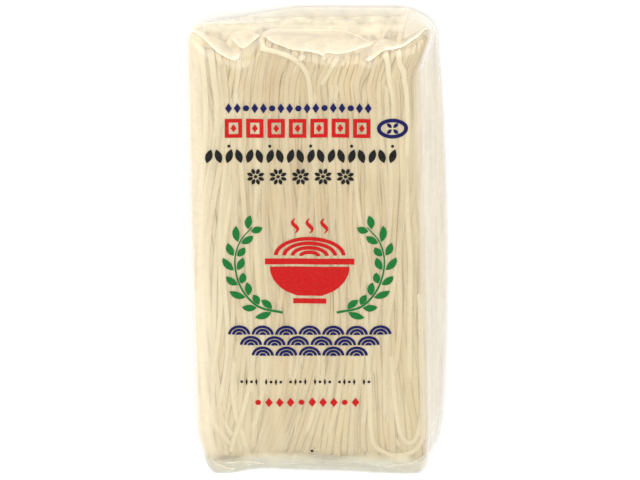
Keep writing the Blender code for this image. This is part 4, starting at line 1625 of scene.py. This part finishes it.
class NOODLEBAG_OT_loose(bpy.types.Operator):
    """Make the single noodles in front of the layers: crossings, curves, bends and end curls."""

    bl_idname = "noodlebag.loose"
    bl_label = "Loose noodles"

    def execute(self, context):
        settings = context.scene.noodle_settings
        material = shared_material("rice_starch_extruded_dried", noodle_material, settings)
        draw = np.random.default_rng(SEED + 50)
        groups = {
            "crossing_noodles": crossing_strands(draw, settings),
            "feature_noodles": feature_strands(draw, settings),
            "end_curls": end_curls(draw, settings),
        }
        for name, strands in groups.items():
            place_piece(noodle_piece(name, strands, settings.thickness), material)
        return {"FINISHED"}


class NOODLEBAG_OT_film(bpy.types.Operator):
    """Make the clear film round the bundle."""

    bl_idname = "noodlebag.film"
    bl_label = "Film"

    def execute(self, context):
        settings = context.scene.film_settings
        points, quads = brick_shell(0.0, FILM_SPACING)
        piece = mesh_from("clear_film", pack_point(*points.T), [quads])
        for attribute, values in zip(("haze", "cool", "pale"), film_haze(points)):
            add_attribute(piece, attribute, values)
        material = shared_material("polypropylene_film_stretched", film_material, settings)
        place_piece(piece, material)
        folds = [fold_sheet(name, *values) for name, values in FOLDS.items()]
        folds += [under_sheet(name, rows) for name, rows in UNDER_SHEETS.items()]
        for fold in folds:
            place_piece(fold, material)
        return {"FINISHED"}


class NOODLEBAG_OT_print(bpy.types.Operator):
    """Make the print on the front of the film, one piece for each ink."""

    bl_idname = "noodlebag.print"
    bl_label = "Print"

    def execute(self, context):
        settings = context.scene.print_settings
        inks = {"navy": navy_shapes, "red": red_shapes, "green": green_shapes, "black": black_shapes}
        for colour, shapes in inks.items():
            material = ink_material(f"{colour}_gravure_ink", getattr(settings, colour))
            print_piece(f"{colour}_print", shapes(), material)
        return {"FINISHED"}


class NOODLEBAG_OT_stage(bpy.types.Operator):
    """Make the floor, the soft light and the camera."""

    bl_idname = "noodlebag.stage"
    bl_label = "Stage"

    def execute(self, context):
        scene = context.scene
        mesh = bpy.data.meshes.new("pale_floor")
        corners = [(-1.0, -1.0), (1.0, -1.0), (1.0, 1.0), (-1.0, 1.0)]
        mesh.from_pydata([(FLOOR_REACH * x, FLOOR_REACH * y, 0.0) for x, y in corners], [], [(0, 1, 2, 3)])
        mesh.materials.append(board_material())
        floor = bpy.data.objects.new("pale_floor", mesh)
        scene.collection.objects.link(floor)

        world = bpy.data.worlds.new("soft_white_room")
        world.use_nodes = True
        sky = world.node_tree.nodes["Background"]
        sky.inputs["Color"].default_value = (1.0, 1.0, 1.0, 1.0)
        sky.inputs["Strength"].default_value = ROOM_BRIGHTNESS
        scene.world = world
        scene.view_settings.view_transform = "Standard"
        scene.view_settings.look = "None"

        light = bpy.data.lights.new("softbox", "AREA")
        light.shape = "RECTANGLE"
        light.size, light.size_y = SOFTBOX_SIZE
        light.energy = SOFTBOX_POWER
        lamp = bpy.data.objects.new("softbox", light)
        lamp.location = SOFTBOX_PLACE
        lamp.rotation_euler = (-lamp.location).to_track_quat("-Z", "Y").to_euler()
        scene.collection.objects.link(lamp)

        back = Vector((0.0, math.sin(CAMERA_TILT), math.cos(CAMERA_TILT)))
        up = Vector((0.0, math.cos(CAMERA_TILT), -math.sin(CAMERA_TILT)))
        right = up.cross(back)
        camera_data = bpy.data.cameras.new("camera")
        camera_data.sensor_width = SENSOR_WIDTH
        camera_data.lens = SENSOR_WIDTH * CAMERA_DISTANCE / (PIXEL_SIZE * IMAGE_WIDTH)
        camera = bpy.data.objects.new("camera", camera_data)
        turned = Matrix((right, up, back)).transposed().to_4x4()
        camera.matrix_world = Matrix.Translation(Vector(CAMERA_AIM) + back * CAMERA_DISTANCE) @ turned
        scene.collection.objects.link(camera)
        scene.camera = camera
        return {"FINISHED"}


class NOODLEBAG_PT_panel(bpy.types.Panel):
    """Sidebar panel that lists the steps."""

    bl_label = "Noodle bag"
    bl_idname = "NOODLEBAG_PT_panel"
    bl_space_type = "VIEW_3D"
    bl_region_type = "UI"
    bl_category = "Noodle bag"

    def draw(self, context):
        for group in ("noodle_settings", "film_settings", "print_settings"):
            settings = getattr(context.scene, group)
            for name in settings.__annotations__:
                self.layout.prop(settings, name)
        for step in STEPS:
            self.layout.operator(step.bl_idname)


STEPS = (
    NOODLEBAG_OT_stage,
    NOODLEBAG_OT_core,
    NOODLEBAG_OT_layers,
    NOODLEBAG_OT_loose,
    NOODLEBAG_OT_film,
    NOODLEBAG_OT_print,
)
CLASSES = (NoodleSettings, FilmSettings, PrintSettings, *STEPS, NOODLEBAG_PT_panel)


def register():
    """Make the classes and the scene's settings known to Blender."""
    for item in CLASSES:
        bpy.utils.register_class(item)
    bpy.types.Scene.noodle_settings = PointerProperty(type=NoodleSettings)
    bpy.types.Scene.film_settings = PointerProperty(type=FilmSettings)
    bpy.types.Scene.print_settings = PointerProperty(type=PrintSettings)


def unregister():
    """Take them away again."""
    del bpy.types.Scene.print_settings
    del bpy.types.Scene.film_settings
    del bpy.types.Scene.noodle_settings
    for item in reversed(CLASSES):
        bpy.utils.unregister_class(item)


def main():
    """Build everything in order."""
    register()
    for step in STEPS:
        group, name = step.bl_idname.split(".")
        getattr(getattr(bpy.ops, group), name)()


if __name__ == "__main__":
    main()
